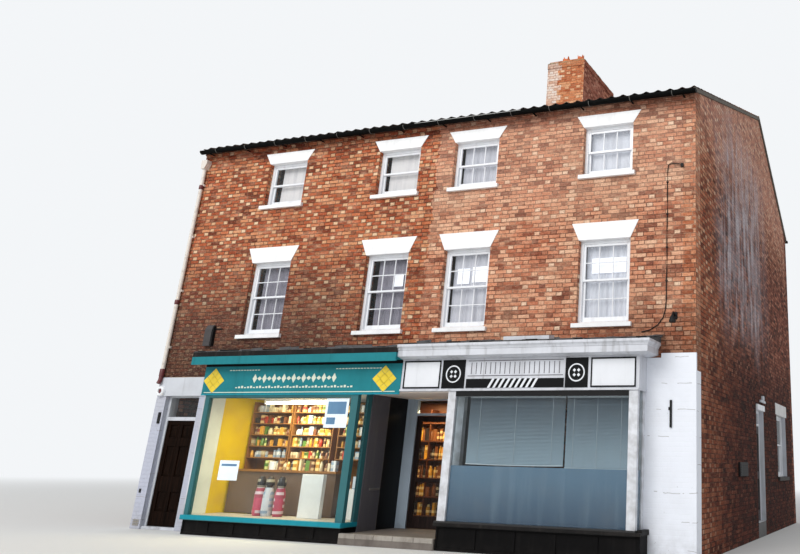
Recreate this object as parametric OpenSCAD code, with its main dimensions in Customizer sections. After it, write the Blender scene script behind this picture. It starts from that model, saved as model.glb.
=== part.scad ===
// Corner shop building: three storeys of brick with two shopfronts on the street side.
// The street face lies at y = 0 and looks along -Y, the party wall is at x = 0,
// the gable is at x = length, and z = 0 is the pavement.

/* [Building] */
// Length of the street face, from the party wall to the corner
length = 11500; // [11300:50:12500]
// Depth of the building, from the street face to the rear face
depth = 10700; // [10400:50:11200]
// Thickness of the outer brick walls
wall_t = 330; // [300:10:360]
// Height of the underside of the roof at the street face
eaves_z = 7920; // [7900:10:8000]
// Rise of the roof's front slope over its run
front_pitch = 0.34; // [0.33:0.01:0.35]
// Rise of the roof's rear slope over its run
rear_pitch = 0.55; // [0.53:0.01:0.57]
// Distance of the ridge from the street face
ridge_y = 6580; // [6500:10:6650]
// Thickness of the roof covering, measured upright
roof_t = 120; // [110:5:130]

/* [Floors] */
// Height of the shop floor above the pavement
shop_floor_z = 150; // [120:10:160]
// Top of the first floor
first_floor_z = 3250; // [3200:10:3300]
// Top of the second floor
second_floor_z = 6050; // [6000:10:6100]
// Thickness of the two upper floors
floor_t = 200; // [180:10:220]

/* [Street windows] */
// Width of the brick openings of the upper windows
window_w = 990; // [950:10:1000]
// Height of the sills of the second-floor windows
upper_sill_z = 6500; // [6480:5:6520]
// Height of the heads of the second-floor windows
upper_head_z = 7460; // [7440:5:7480]
// Height of the sills of the first-floor windows
first_sill_z = 3735; // [3720:5:3750]
// Height of the heads of the first-floor windows
first_head_z = 5235; // [5210:5:5260]
// Height of the second-floor lintels
upper_lintel_h = 240; // [220:5:250]
// Height of the first-floor lintels
first_lintel_h = 320; // [300:5:330]
// Distance of the sash frames behind the brick face
reveal = 100; // [80:5:120]
// Depth of the box frames of the sashes
frame_d = 110; // [90:5:130]

/* [Shopfronts] */
// Distance that the shop windows stand out from the brick face
shop_out = 400; // [380:5:420]
// Distance of the cornice's front edge from the brick face
cornice_out = 640; // [620:5:660]
// Height of the underside of the fascias
fascia_low_z = 2550; // [2540:5:2560]
// Height of the top of the fascias
fascia_top_z = 3105; // [3100:5:3110]
// Height of the top of the cornice's front edge
cornice_top_z = 3350; // [3340:5:3380]
// Left end of the left shop window
left_shop_x = 1720; // [1700:10:1740]
// Right end of the left shop window, where the lobby starts
lobby_x = 5280; // [5250:10:5300]
// Left end of the right shop window, where the lobby ends
right_shop_x = 7150; // [7130:10:7200]
// Right end of the right shop window
shop_end_x = 10640; // [10620:10:10660]
// Distance of the shop door behind the brick face
lobby_d = 1250; // [1150:10:1300]

/* [Doors] */
// Width of the door leaves
leaf_w = 762; // [740:1:780]
// Height of the door leaves
leaf_h = 1981; // [1950:1:1990]
// Thickness of the door leaves
leaf_t = 45; // [40:1:50]
// Clearance round a door leaf
leaf_gap = 7; // [6:1:9]
// Middle of the side door, measured from the street face
side_door_y = 5650; // [5600:5:5700]
// Height of the side door's threshold
side_door_z = 300; // [280:5:310]

/* [Chimney] */
// Left face of the chimney stack
stack_x = 5770; // [5750:10:5800]
// Width of the chimney stack along the street
stack_w = 1110; // [1080:10:1150]
// Front face of the chimney stack
stack_y = 5430; // [5400:10:5480]
// Depth of the chimney stack
stack_d = 2300; // [2200:10:2350]
// Top of the chimney stack's brickwork
stack_top_z = 12090; // [12000:10:12200]

/* [Hidden] */

brick = "indianred";
stone = "gainsboro";
white_paint = "whitesmoke";
teal_paint = "lightseagreen";
black_paint = "dimgray";

// A tiny step that lets cutting solids pass right through
e = 1;
split_z = 2900;
side_split_z = 2740;
over_cut = 20;
party_t = 225;
inner_x = length - wall_t;
inner_y = depth - wall_t;

ridge_z = eaves_z + roof_t + front_pitch * ridge_y;
front_eave_y = -150;
rear_eave_y = depth + 20;
verge_out = 40;

function roof_low(y) = y < ridge_y ? eaves_z + front_pitch * y
                                   : ridge_z - roof_t - rear_pitch * (y - ridge_y);
function roof_high(y) = roof_low(y) + roof_t;
// The bed that the rolls of the pantiles stand up from
roll_h = 36;
function roof_bed(y) = roof_high(y) - roll_h;

window_x = [2375, 5215, 7010, 9810];
rear_window_x = [2400, 5750, 9100];
rows = [[upper_sill_z, upper_head_z, upper_lintel_h],
        [first_sill_z, first_head_z, first_lintel_h]];
rear_rows = [[1050, 2350], [first_sill_z, first_head_z], [6150, 6950]];
eave_chamfer = 30;
gutter_r = 70;
gutter_wall = 5;
gutter_out = 60;
rear_gutter_y = rear_eave_y + 6 + gutter_r;
mid_x = (length + gutter_out) / 2;
mid_y = (rear_gutter_y + gutter_r - cornice_out) / 2;
lintel_spread = 150;
lintel_d = 110;
lintel_out = 12;
sill_h = 85;
sill_out = 65;
sill_wide = 60;
stile = 95;
meeting = 45;
glass_t = 6;
frame_member = 55;
post_d = 90;
left_post_w = [100, 150];
right_post_w = [150, 150];
fascia_board = 60;
side_window = [7950, 9350, 1190, 2670];
side_lintel_top = 2950;
base_end_x = shop_end_x + 80;
return_end_y = 20;
left_sill_z = [255, 335];
right_sill_z = [375, 455];
left_riser_x = [left_shop_x + 5, lobby_x - 5];
right_riser_x = [right_shop_x + 5, base_end_x];

// Puts a solid drawn in the building's own measures onto the part's origin
module site() translate([-mid_x, -mid_y, 0]) children();

// A block given by its low and high corners
module block(x, y, z) translate([x[0], y[0], z[0]]) cube([x[1] - x[0], y[1] - y[0], z[1] - z[0]]);

// An outline in Y and Z, run along X
module along_x(x, points)
  translate([x[0], 0, 0]) rotate([90, 0, 90]) linear_extrude(x[1] - x[0]) polygon(points);

// An outline in X and Z, run along Y
module along_y(y, points)
  translate([0, y[1], 0]) rotate([90, 0, 0]) linear_extrude(y[1] - y[0]) polygon(points);

// A length of wall that follows the roof's slopes at its top
module wall_under_roof(x, y, low_z) {
  ridge = y[0] < ridge_y && y[1] > ridge_y ? [[ridge_y, roof_low(ridge_y)]] : [];
  foot = [[y[0], low_z], [y[1], low_z], [y[1], roof_low(y[1])]];
  along_x(x, concat(foot, ridge, [[y[0], roof_low(y[0])]]));
}

// A wedge-shaped lintel over an opening, with its face at y = 0
module wedge(cx, head_z, h, grow) {
  half = window_w / 2;
  along_y([-lintel_out - grow, lintel_d],
          [[cx - half, head_z], [cx + half, head_z],
           [cx + half + lintel_spread, head_z + h], [cx - half - lintel_spread, head_z + h]]);
}

// A sill below an opening in the street face
module sill(cx, sill_z, grow) {
  half = window_w / 2 + sill_wide;
  along_x([cx - half, cx + half],
          [[-sill_out - grow, sill_z - sill_h], [reveal + frame_d, sill_z - sill_h],
           [reveal + frame_d, sill_z], [reveal, sill_z], [-sill_out - grow, sill_z - 12]]);
}

// A box frame with a meeting rail, filling an opening w wide between two heights
module sash_frame(cx, w, z, y) {
  middle = z[0] + (z[1] - z[0]) * 0.52;
  difference() {
    block([cx - w / 2, cx + w / 2], y, z);
    for (pane_z = [[z[0] + stile, middle - meeting / 2], [middle + meeting / 2, z[1] - stile]])
      block([cx - w / 2 + stile, cx + w / 2 - stile], [y[0] - e, y[1] + e], pane_z);
  }
}

// The two panes of a sash window
module sash_panes(cx, w, z, y) {
  middle = z[0] + (z[1] - z[0]) * 0.52;
  x = [cx - w / 2 + stile, cx + w / 2 - stile];
  block(x, [y, y + glass_t], [z[0] + stile, middle - meeting / 2]);
  block(x, [y, y + glass_t], [middle + meeting / 2, z[1] - stile]);
}

// The same on a wall that faces along X
module turned(y_mid, face_x) translate([face_x, y_mid, 0]) rotate([0, 0, 90]) children();

hall_x = 1740;
hall_end_y = 1400;
hall_floor_z = 40;
riser_t = 60;
bed_y = [-shop_out + riser_t, return_end_y];
module ground_floor() color("silver") site() {
  difference() {
    block([party_t, inner_x], [wall_t, inner_y], [0, shop_floor_z]);
    block([party_t - e, hall_x], [wall_t - e, hall_end_y], [hall_floor_z, shop_floor_z + e]);
  }
  block([left_shop_x, shop_end_x], [return_end_y, wall_t], [0, shop_floor_z]);
  block([left_riser_x[0] + riser_t, left_riser_x[1] - riser_t], bed_y, [0, shop_floor_z]);
  block([lobby_x, right_shop_x], bed_y, [0, shop_floor_z]);
  block([right_riser_x[0] + riser_t, shop_end_x], bed_y, [0, shop_floor_z]);
  block([shop_end_x, right_riser_x[1] - riser_t], [bed_y[0], 0], [0, shop_floor_z]);
}

module upper_floors() color("burlywood") site() for (z = [first_floor_z, second_floor_z])
  block([party_t, inner_x], [wall_t, inner_y], [z - floor_t, z]);

module front_wall() color(brick) site() difference() {
  wall_under_roof([0, length], [0, wall_t], split_z);
  for (row = rows, cx = window_x) {
    block([cx - window_w / 2, cx + window_w / 2], [-over_cut, wall_t + over_cut], [row[0], row[1]]);
    wedge(cx, row[1], row[2], over_cut);
    sill(cx, row[0], over_cut);
  }
}

clear_w = leaf_w + 2 * leaf_gap;
door_w = clear_w + 2 * frame_member;
left_pier_x = 250;
middle_pier_x = left_pier_x + door_w;
module left_piers() color(white_paint) site() {
  block([0, left_pier_x], [0, wall_t], [0, split_z]);
  block([middle_pier_x, left_shop_x], [0, wall_t], [0, split_z]);
}
plinth_h = 90;
pilaster_top_z = 3180;
cornice_end_x = 10910;
module right_pier() color(white_paint) site() {
  block([shop_end_x, length], [0, wall_t], [0, split_z]);
  block([base_end_x, length + 12], [-25, 0], [plinth_h, fascia_top_z]);
  block([cornice_end_x, length + 12], [-25, 0], [fascia_top_z, pilaster_top_z]);
  block([shop_end_x, base_end_x], [-25, 0], [right_sill_z[0], fascia_low_z]);
  block([shop_end_x + 20, base_end_x], [-25, 0], [fascia_low_z, fascia_top_z]);
  block([base_end_x, length + 25], [-38, 0], [0, plinth_h]);
  block([length, length + 12], [0, 30], [plinth_h, pilaster_top_z]);
  block([length, length + 25], [0, 45], [0, plinth_h]);
}

module shop_beam() color("rosybrown") site() {
  block([left_pier_x, middle_pier_x], [0, wall_t], [fascia_low_z, split_z]);
  block([left_shop_x, shop_end_x], [0, wall_t], [fascia_low_z, split_z]);
}

side_door_top = 2620;
side_door_y0 = side_door_y - door_w / 2;
side_door_y1 = side_door_y + door_w / 2;
side_lintel_y = [side_window[0] - 160, side_window[1] + 160];
side_sill_y = [side_window[0] - sill_wide, side_window[1] + sill_wide];
sill_back = reveal + frame_d;
module side_wall() color(brick) site() {
  block([inner_x, length], [wall_t, side_door_y0], [0, side_split_z]);
  difference() {
    block([inner_x, length], [side_door_y1, inner_y], [0, side_split_z]);
    block([inner_x - over_cut, length + over_cut], [side_window[0], side_window[1]],
          [side_window[2], side_window[3]]);
    block([length - lintel_d, length + over_cut], side_lintel_y, [side_window[3], side_split_z + over_cut]);
    block([length - sill_back, length + over_cut], side_sill_y, [side_window[2] - sill_h, side_window[2]]);
  }
}
module gable_wall() color(brick) site() difference() {
  wall_under_roof([inner_x, length], [wall_t, inner_y], side_split_z);
  block([length - lintel_d, length + over_cut], side_lintel_y, [side_split_z - over_cut, side_lintel_top]);
}

rear_bearing = 120;
rear_lintel_h = 220;
module rear_opening(cx, z) {
  half = window_w / 2;
  block([cx - half, cx + half], [inner_y - over_cut, depth + over_cut], z);
  block([cx - half - rear_bearing, cx + half + rear_bearing], [depth - lintel_d, depth + over_cut],
        [z[1], z[1] + rear_lintel_h]);
  block([cx - half - sill_wide, cx + half + sill_wide], [depth - sill_back, depth + over_cut],
        [z[0] - sill_h, z[0]]);
}
module back_wall() color(brick) site() difference() {
  wall_under_roof([0, length], [inner_y, depth], 0);
  for (row = rear_rows, cx = rear_window_x) rear_opening(cx, row);
}
module party_wall() color("rosybrown") site() wall_under_roof([0, party_t], [wall_t, inner_y], 0);

course_low_z = eaves_z - 160;
course_h = 77;
course_out = 30;
module eaves_course() color(brick) site()
  along_x([0, length],
          [[0, course_low_z], [-course_out, course_low_z], [-course_out, course_low_z + course_h],
           [-2 * course_out, course_low_z + course_h], [-2 * course_out, roof_low(-2 * course_out)],
           [0, roof_low(0)]]);

stack_x1 = stack_x + stack_w;
stack_y1 = stack_y + stack_d;
ridge_side = [ridge_y - 120, ridge_y + 120];
roof_x = [0, length + verge_out];
roll_w = 84;
roll_pitch = (roof_x[1] - roof_x[0]) / 25;
// Every second roll of the pantiles on one slope, left out where the stack stands
module rolls(y) difference() {
  for (x = [0.43 * roll_pitch : roll_pitch : roof_x[1]])
    along_x([x - roll_w / 2, x + roll_w / 2],
            [[y[0], roof_bed(y[0])], [y[1], roof_bed(y[1])],
             [y[1], roof_high(y[1])], [y[0], roof_high(y[0])]]);
  block([stack_x, stack_x1], [stack_y, stack_y1], [0, stack_top_z]);
}
module roof_front() color("saddlebrown") site() {
  along_x(roof_x, [[front_eave_y, roof_low(-2 * course_out) + eave_chamfer],
                   [-2 * course_out, roof_low(-2 * course_out)], [ridge_y, roof_low(ridge_y)],
                   [ridge_y, roof_bed(ridge_y)], [front_eave_y, roof_bed(front_eave_y)]]);
  rolls([front_eave_y, ridge_side[0]]);
}
module roof_back() color("saddlebrown") site() {
  along_x(roof_x, [[ridge_y, roof_low(ridge_y)], [rear_eave_y, roof_low(rear_eave_y)],
                   [rear_eave_y, roof_bed(rear_eave_y)], [ridge_y, roof_bed(ridge_y)]]);
  rolls([ridge_side[1], rear_eave_y]);
}
module ridge_tiles() color("sienna") site() difference() {
  along_x(roof_x,
          [[ridge_side[0], roof_bed(ridge_side[0])], [ridge_y, roof_bed(ridge_y)],
           [ridge_side[1], roof_bed(ridge_side[1])], [ridge_side[1], roof_high(ridge_side[1]) + 40],
           [ridge_y + 60, ridge_z + 45], [ridge_y - 60, ridge_z + 45],
           [ridge_side[0], roof_high(ridge_side[0]) + 40]]);
  block([stack_x, stack_x1], [stack_y, stack_y1], [0, stack_top_z]);
}

cap_out = 12;
cap_h = 150;
flaunching_h = 60;
module chimney_stack() color("peru") site() {
  along_x([stack_x, stack_x1], [[stack_y, roof_bed(stack_y)], [ridge_y, roof_bed(ridge_y)],
                                [stack_y1, roof_bed(stack_y1)], [stack_y1, stack_top_z - cap_h],
                                [stack_y, stack_top_z - cap_h]]);
  block([stack_x - cap_out, stack_x1 + cap_out], [stack_y - cap_out, stack_y1 + cap_out],
        [stack_top_z - cap_h, stack_top_z]);
  along_y([stack_y, stack_y1], [[stack_x, stack_top_z], [stack_x1, stack_top_z],
                                [stack_x1 - 60, stack_top_z + flaunching_h],
                                [stack_x + 60, stack_top_z + flaunching_h]]);
}

pot_r = 110;
pot_wall = 22;
pot_x = [stack_x + 0.42 * stack_w, stack_x + 0.82 * stack_w];
pot_y = stack_y + 220;
pot_h = 150;
module chimney_pots() color("chocolate") site() for (i = [0, 1])
  translate([pot_x[i], pot_y, stack_top_z + flaunching_h]) difference() {
    cylinder(r = pot_r - 12 * i, h = pot_h + 10 * i, $fn = 48);
    translate([0, 0, 20]) cylinder(r = pot_r - 12 * i - pot_wall, h = pot_h + 40, $fn = 48);
  }

bracket_w = 25;
// A half-round gutter along X, with the brackets that hold it to the wall
module gutter(y, top_z, x, wall_y, count) {
  translate([x[0], y, top_z]) rotate([0, 90, 0]) difference() {
    cylinder(r = gutter_r, h = x[1] - x[0], $fn = 48);
    translate([0, 0, gutter_wall])
      cylinder(r = gutter_r - gutter_wall, h = x[1] - x[0] - 2 * gutter_wall, $fn = 48);
    translate([-2 * gutter_r, -2 * gutter_r, -e]) cube([2 * gutter_r, 4 * gutter_r, x[1] - x[0] + 2 * e]);
  }
  pitch = (x[1] - x[0] - 500) / (count - 1);
  for (i = [0 : count - 1])
    block([x[0] + 250 + i * pitch - bracket_w / 2, x[0] + 250 + i * pitch + bracket_w / 2],
          [min(y, wall_y), max(y, wall_y)], [top_z - gutter_r - 12, top_z - gutter_r + 2]);
}
front_gutter_y = -2 * course_out - 40 - gutter_r;
front_gutter_z = roof_low(-2 * course_out) - 5;
rear_gutter_z = roof_low(rear_eave_y) + gutter_r - 12;
module gutters() color("darkslategray") site() {
  gutter(front_gutter_y, front_gutter_z, [0, length + gutter_out], -course_out, 12);
  gutter(rear_gutter_y, rear_gutter_z, [0, length + gutter_out], depth, 12);
}

pipe_r = 38;
pipe_x = 60;
pipe_y = -55;
hopper_z = [7500, 7700];
pipe_foot_z = 3050;
module front_downpipe() color("bisque") site() {
  translate([pipe_x, pipe_y, pipe_foot_z]) cylinder(r = pipe_r, h = hopper_z[0] - pipe_foot_z, $fn = 32);
  translate([pipe_x, pipe_y, pipe_foot_z - 130]) cylinder(r = pipe_r + 9, h = 130, $fn = 32);
  along_y([-130, 0],
          [[pipe_x - 45, hopper_z[0]], [pipe_x + 45, hopper_z[0]], [pipe_x + 100, hopper_z[0] + 120],
           [pipe_x + 100, hopper_z[1]], [0, hopper_z[1]], [0, hopper_z[0] + 120]]);
  for (z = [3500, 4700, 5900, 7100]) block([pipe_x - 55, pipe_x + 55], [pipe_y, 0], [z, z + 45]);
}

module window_lintels() color(stone) site()
  for (row = rows, cx = window_x) wedge(cx, row[1], row[2], 0);
module window_sills() color(stone) site()
  for (row = rows, cx = window_x) sill(cx, row[0], 0);

frame_y = [reveal, reveal + frame_d];
glass_y = reveal + frame_d / 2;
module street_frames(row) site()
  for (cx = window_x) sash_frame(cx, window_w, [row[0], row[1]], frame_y);
module upper_frames() color(white_paint) street_frames(rows[0]);
module first_frames() color(white_paint) street_frames(rows[1]);
module street_glass() color("lightblue") site()
  for (row = rows, cx = window_x) sash_panes(cx, window_w, [row[0], row[1]], glass_y);

rear_frame_y = [depth - reveal - frame_d, depth - reveal];
side_frame_x = [length - reveal - frame_d, length - reveal];
side_mid_y = (side_window[0] + side_window[1]) / 2;
side_w = side_window[1] - side_window[0];
side_z = [side_window[2], side_window[3]];
module rear_frames() color(white_paint) site() {
  for (row = rear_rows, cx = rear_window_x) sash_frame(cx, window_w, row, rear_frame_y);
  turned(side_mid_y, length) sash_frame(0, side_w, side_z, [reveal, reveal + frame_d]);
}
module rear_glass() color("lightblue") site() {
  for (row = rear_rows, cx = rear_window_x) sash_panes(cx, window_w, row, depth - glass_y);
  turned(side_mid_y, length) sash_panes(0, side_w, side_z, glass_y);
}
module rear_dressings() color(stone) site() {
  for (row = rear_rows, cx = rear_window_x) {
    half = window_w / 2;
    block([cx - half - rear_bearing, cx + half + rear_bearing], [depth - lintel_d, depth + lintel_out],
          [row[1], row[1] + rear_lintel_h]);
    block([cx - half - sill_wide, cx + half + sill_wide], [depth - sill_back, depth + 55],
          [row[0] - sill_h, row[0]]);
  }
  block([length - lintel_d, length + lintel_out], side_lintel_y, [side_window[3], side_lintel_top]);
  block([length - sill_back, length + 55], side_sill_y, [side_window[2] - sill_h, side_window[2]]);
}

// A door frame with a transom bar, its outer face at y = 0
module door_frame(foot_z, bar_z, bar_h, top_z) difference() {
  block([-door_w / 2, door_w / 2], [0, frame_d], [foot_z, top_z]);
  block([-clear_w / 2, clear_w / 2], [-e, frame_d + e], [foot_z - e, bar_z]);
  block([-clear_w / 2, clear_w / 2], [-e, frame_d + e], [bar_z + bar_h, top_z - frame_member]);
}
// The pane above the transom bar
module door_light(half, low_z, high_z) block([-half, half], [30, 30 + glass_t], [low_z, high_z]);
knuckle_r = 6;
knuckle_in = 4;
// The hinge knuckles along one edge of a leaf, on its inner face
module knuckles(x, y, foot_z) for (z = [150, 900, 1700])
  translate([x, y, foot_z + z]) cylinder(r = knuckle_r, h = 90, $fn = 24);
// A leaf that closes the frame
module door_leaf(foot_z) {
  block([-leaf_w / 2, leaf_w / 2], [10, 10 + leaf_t], [foot_z, foot_z + leaf_h]);
  knuckles(leaf_w / 2 - knuckle_in, 10 + leaf_t + knuckle_in, foot_z);
}

side_bar_z = side_door_z + leaf_h + 2 * leaf_gap;
side_bar_h = 45;
module side_place() translate([length - reveal, side_door_y, 0]) rotate([0, 0, 90]) children();
module side_door_frame() color(white_paint) site() {
  side_place() door_frame(side_door_z, side_bar_z, side_bar_h, side_door_top);
  block([inner_x, length + 40], [side_door_y0, side_door_y1], [side_door_top, side_split_z]);
  block([inner_x, length], [side_door_y0, side_door_y1], [0, side_door_z]);
}
module side_door() color("maroon") site() side_place() door_leaf(side_door_z + leaf_gap);

left_door_x = left_pier_x + door_w / 2;
left_door_z = 50;
left_bar_z = left_door_z + leaf_h + 2 * leaf_gap;
left_bar_h = 70;
module left_door_frame() color(white_paint) site() {
  translate([left_door_x, reveal, 0]) door_frame(left_door_z, left_bar_z, left_bar_h, fascia_low_z);
  block([left_pier_x, middle_pier_x], [reveal - 60, wall_t], [0, left_door_z]);
  block([20, left_shop_x - 125], [-22, 0], [fascia_low_z - 25, split_z - 10]);
}
module left_door() color("saddlebrown") site()
  translate([left_door_x, reveal, 0]) door_leaf(left_door_z + leaf_gap);

module door_lights() color("lightblue") site() {
  translate([left_door_x, reveal, 0])
    door_light(clear_w / 2, left_bar_z + left_bar_h, fascia_low_z - frame_member);
  side_place() door_light(clear_w / 2, side_bar_z + side_bar_h, side_door_top - frame_member);
  translate([shop_door_x, lobby_d - shop_frame_d, 0])
    door_light(shop_door_half, shop_bar_z + shop_bar_h, fascia_low_z - 40);
}

// The boxed fascia of one shop: face, ends and soffit, open at the back
module fascia_box(x) difference() {
  block(x, [-shop_out, 0], [fascia_low_z, fascia_top_z]);
  block([x[0] + fascia_board, x[1] - fascia_board], [-shop_out + fascia_board, e],
        [fascia_low_z + fascia_board, fascia_top_z + e]);
}
fascia_joint_x = 6150;
module left_fascia() color(teal_paint) site() fascia_box([left_shop_x - 120, fascia_joint_x]);
module right_fascia() color(white_paint) site() fascia_box([fascia_joint_x, shop_end_x + 20]);

board_t = 40;
// A plain cornice: a deep board that hangs in front of the fascia, with a sloping top
module left_cornice() color(teal_paint) site()
  along_x([left_shop_x - 280, fascia_joint_x],
          [[0, fascia_top_z], [-cornice_out + board_t, fascia_top_z],
           [-cornice_out + board_t, fascia_top_z - 40], [-cornice_out, fascia_top_z - 40],
           [-cornice_out, cornice_top_z - 40],
           [-cornice_out + board_t, cornice_top_z - 20], [0, cornice_top_z + 50]]);
// A moulded cornice with a sloping top
module right_cornice() color(white_paint) site()
  along_x([fascia_joint_x, cornice_end_x],
          [[0, fascia_top_z], [-shop_out - 90, fascia_top_z], [-shop_out - 110, fascia_top_z + 60],
           [-cornice_out + 60, fascia_top_z + 95], [-cornice_out, fascia_top_z + 135],
           [-cornice_out, cornice_top_z - 25], [-cornice_out + 25, cornice_top_z],
           [0, cornice_top_z + 95]]);

sill_y = [-shop_out - 55, -shop_out + 95];
left_glass_x = [left_shop_x + left_post_w[0], lobby_x - left_post_w[1]];
right_glass_x = [right_shop_x + right_post_w[0], shop_end_x - right_post_w[1]];
head_h = 90;
// The frame of a shop window: sill, posts, head and the two posts at the back of each return
module shop_frame(x, sill_z, w, back_l, back_r, back_w) {
  block([x[0] - 20, x[1] + 20], sill_y, sill_z);
  block([x[0], x[0] + w[0]], [-shop_out, -shop_out + post_d], [sill_z[1], fascia_low_z]);
  block([x[1] - w[1], x[1]], [-shop_out, -shop_out + post_d], [sill_z[1], fascia_low_z]);
  block([x[0] + w[0], x[1] - w[1]], [-shop_out, -shop_out + 60], [fascia_low_z - head_h, fascia_low_z]);
  block([x[0], x[0] + 60], [sill_y[1], back_l], sill_z);
  block([x[1] - 60, x[1]], [sill_y[1], back_r], sill_z);
  block([x[0], x[0] + back_w], [back_l - 110, back_l], [sill_z[1], fascia_low_z]);
  block([x[1] - 60, x[1]], [back_r - 110, back_r], [sill_z[1], fascia_low_z]);
}
module left_shop_frame() color(teal_paint) site()
  shop_frame([left_shop_x, lobby_x], left_sill_z, left_post_w, 0, return_end_y, 60);
module right_shop_frame() color(white_paint) site()
  shop_frame([right_shop_x, shop_end_x], right_sill_z, right_post_w, return_end_y, 0, 150);

// The front pane of a shop window and the narrow panes of its returns
module shop_panes(x, glass_x, sill_top, back_l, back_r) {
  block(glass_x, [-shop_out + 40, -shop_out + 40 + glass_t], [sill_top, fascia_low_z - head_h]);
  block([x[0] + 20, x[0] + 20 + glass_t], [-shop_out + post_d, back_l - 110], [sill_top, fascia_low_z]);
  block([x[1] - 20 - glass_t, x[1] - 20], [-shop_out + post_d, back_r - 110], [sill_top, fascia_low_z]);
}
module shop_glass() color("lightblue") site() {
  shop_panes([left_shop_x, lobby_x], left_glass_x, left_sill_z[1], 0, return_end_y);
  shop_panes([right_shop_x, shop_end_x], right_glass_x, right_sill_z[1], return_end_y, 0);
}

// The panelled base below one shop window, with its returns
module stallriser(x, top_z, back_l, back_r) {
  block(x, [-shop_out, -shop_out + riser_t], [0, top_z]);
  block([x[0], x[0] + riser_t], [-shop_out + riser_t, back_l], [0, top_z]);
  block([x[1] - riser_t, x[1]], [-shop_out + riser_t, back_r], [0, top_z]);
}
module stallrisers() color(black_paint) site() {
  stallriser(left_riser_x, left_sill_z[0], 0, return_end_y);
  stallriser(right_riser_x, right_sill_z[0], return_end_y, 0);
}

lining_t = 50;
step_z = shop_floor_z + 20;
shop_leaf_w = 850;
shop_leaf_h = 2040;
shop_frame_d = 90;
hinge_post_w = 240;
latch_post_w = 90;
shop_door_half = shop_leaf_w / 2 + leaf_gap;
shop_door_x = lobby_x + hinge_post_w + shop_door_half;
shop_frame_x = [lobby_x, shop_door_x + shop_door_half + latch_post_w];
module lobby_lining() color(black_paint) site() {
  block([lobby_x - lining_t, lobby_x], [return_end_y, lobby_d], [shop_floor_z, fascia_low_z]);
  block([right_shop_x, right_shop_x + lining_t], [return_end_y, lobby_d], [shop_floor_z, fascia_low_z]);
  block([shop_frame_x[1], right_shop_x], [lobby_d - lining_t, lobby_d], [step_z, fascia_low_z]);
  block([lobby_x - lining_t, right_shop_x + lining_t], [wall_t, lobby_d + 60],
        [fascia_low_z, fascia_low_z + 30]);
}
shop_door_z = step_z + leaf_gap;
shop_bar_z = shop_door_z + shop_leaf_h + leaf_gap;
shop_bar_h = 45;
module shop_door_frame() color("lightsteelblue") site() difference() {
  block(shop_frame_x, [lobby_d - shop_frame_d, lobby_d], [step_z, fascia_low_z]);
  translate([shop_door_x, lobby_d - shop_frame_d, 0]) {
    block([-shop_door_half, shop_door_half], [-e, shop_frame_d + e], [step_z - e, shop_bar_z]);
    block([-shop_door_half, shop_door_half], [-e, shop_frame_d + e],
          [shop_bar_z + shop_bar_h, fascia_low_z - 40]);
  }
}
door_rail = 110;
shop_pane_x = [-shop_leaf_w / 2 + door_rail, shop_leaf_w / 2 - door_rail];
shop_pane_z = [shop_door_z + 2 * door_rail, shop_door_z + shop_leaf_h - door_rail];
module shop_door() color("gray") site() translate([shop_door_x, lobby_d - shop_frame_d, 0]) {
  difference() {
    block([-shop_leaf_w / 2, shop_leaf_w / 2], [15, 15 + leaf_t], [shop_door_z, shop_door_z + shop_leaf_h]);
    block(shop_pane_x, [15 - e, 15 + leaf_t + e], shop_pane_z);
  }
  knuckles(-shop_leaf_w / 2 + knuckle_in, 15 + leaf_t + knuckle_in, shop_door_z);
}
module shop_door_glass() color("lightblue") site() translate([shop_door_x, lobby_d - shop_frame_d, 0])
  block(shop_pane_x, [34, 34 + glass_t], shop_pane_z);

module entrance_step() color("lightgray") site() {
  block([lobby_x - 5, right_shop_x + 5], [-shop_out - 40, -shop_out + riser_t], [0, step_z]);
  block([lobby_x, right_shop_x], [-shop_out + riser_t, lobby_d], [shop_floor_z, step_z]);
}

shelf_x = [1850, 3900];
shelf_y = [760, 1060];
shelf_z = [1380, 1600, 1820, 2040, 2260];
counter_x = [1850, 4350];
counter_y = [440, 740];
module shop_fittings() color("goldenrod") site() {
  block([1740, 1790], [0, 1250], [shop_floor_z, fascia_low_z]);
  for (z = shelf_z) block(shelf_x, shelf_y, [z, z + 25]);
  for (x = [shelf_x[0], shelf_x[1] - 25]) block([x, x + 25], shelf_y, [shop_floor_z, shelf_z[0]]);
  for (i = [0 : len(shelf_z) - 2], x = [shelf_x[0], shelf_x[1] - 25])
    block([x, x + 25], shelf_y, [shelf_z[i] + 25, shelf_z[i + 1]]);
  block([shelf_x[0], shelf_x[1]], [shelf_y[1], shelf_y[1] + 18], [shop_floor_z, shelf_z[4] + 200]);
  block([counter_x[0], counter_x[1]], counter_y, [shop_floor_z, 1110]);
  block([counter_x[0], counter_x[1] + 30], [counter_y[0] - 30, counter_y[1]], [1110, 1150]);
}

ground_floor();
upper_floors();
front_wall();
left_piers();
right_pier();
shop_beam();
side_wall();
gable_wall();
back_wall();
party_wall();
eaves_course();
roof_front();
roof_back();
ridge_tiles();
chimney_stack();
chimney_pots();
gutters();
front_downpipe();
window_lintels();
window_sills();
upper_frames();
first_frames();
street_glass();
rear_frames();
rear_glass();
rear_dressings();
side_door_frame();
side_door();
left_door_frame();
left_door();
door_lights();
left_fascia();
left_cornice();
left_shop_frame();
right_fascia();
right_cornice();
right_shop_frame();
shop_glass();
stallrisers();
lobby_lining();
shop_door_frame();
shop_door();
shop_door_glass();
entrance_step();
shop_fittings();
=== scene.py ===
"""Looks of a corner shop building: finishes, joinery, tiles, interiors, light and camera."""

import logging
import math
import random
from dataclasses import dataclass, field
from enum import Enum
from functools import cached_property, lru_cache
from typing import Any, Callable, Dict, List, Optional, Sequence, Tuple, Union

import bmesh
import bpy
from mathutils import Matrix, Vector


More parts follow.
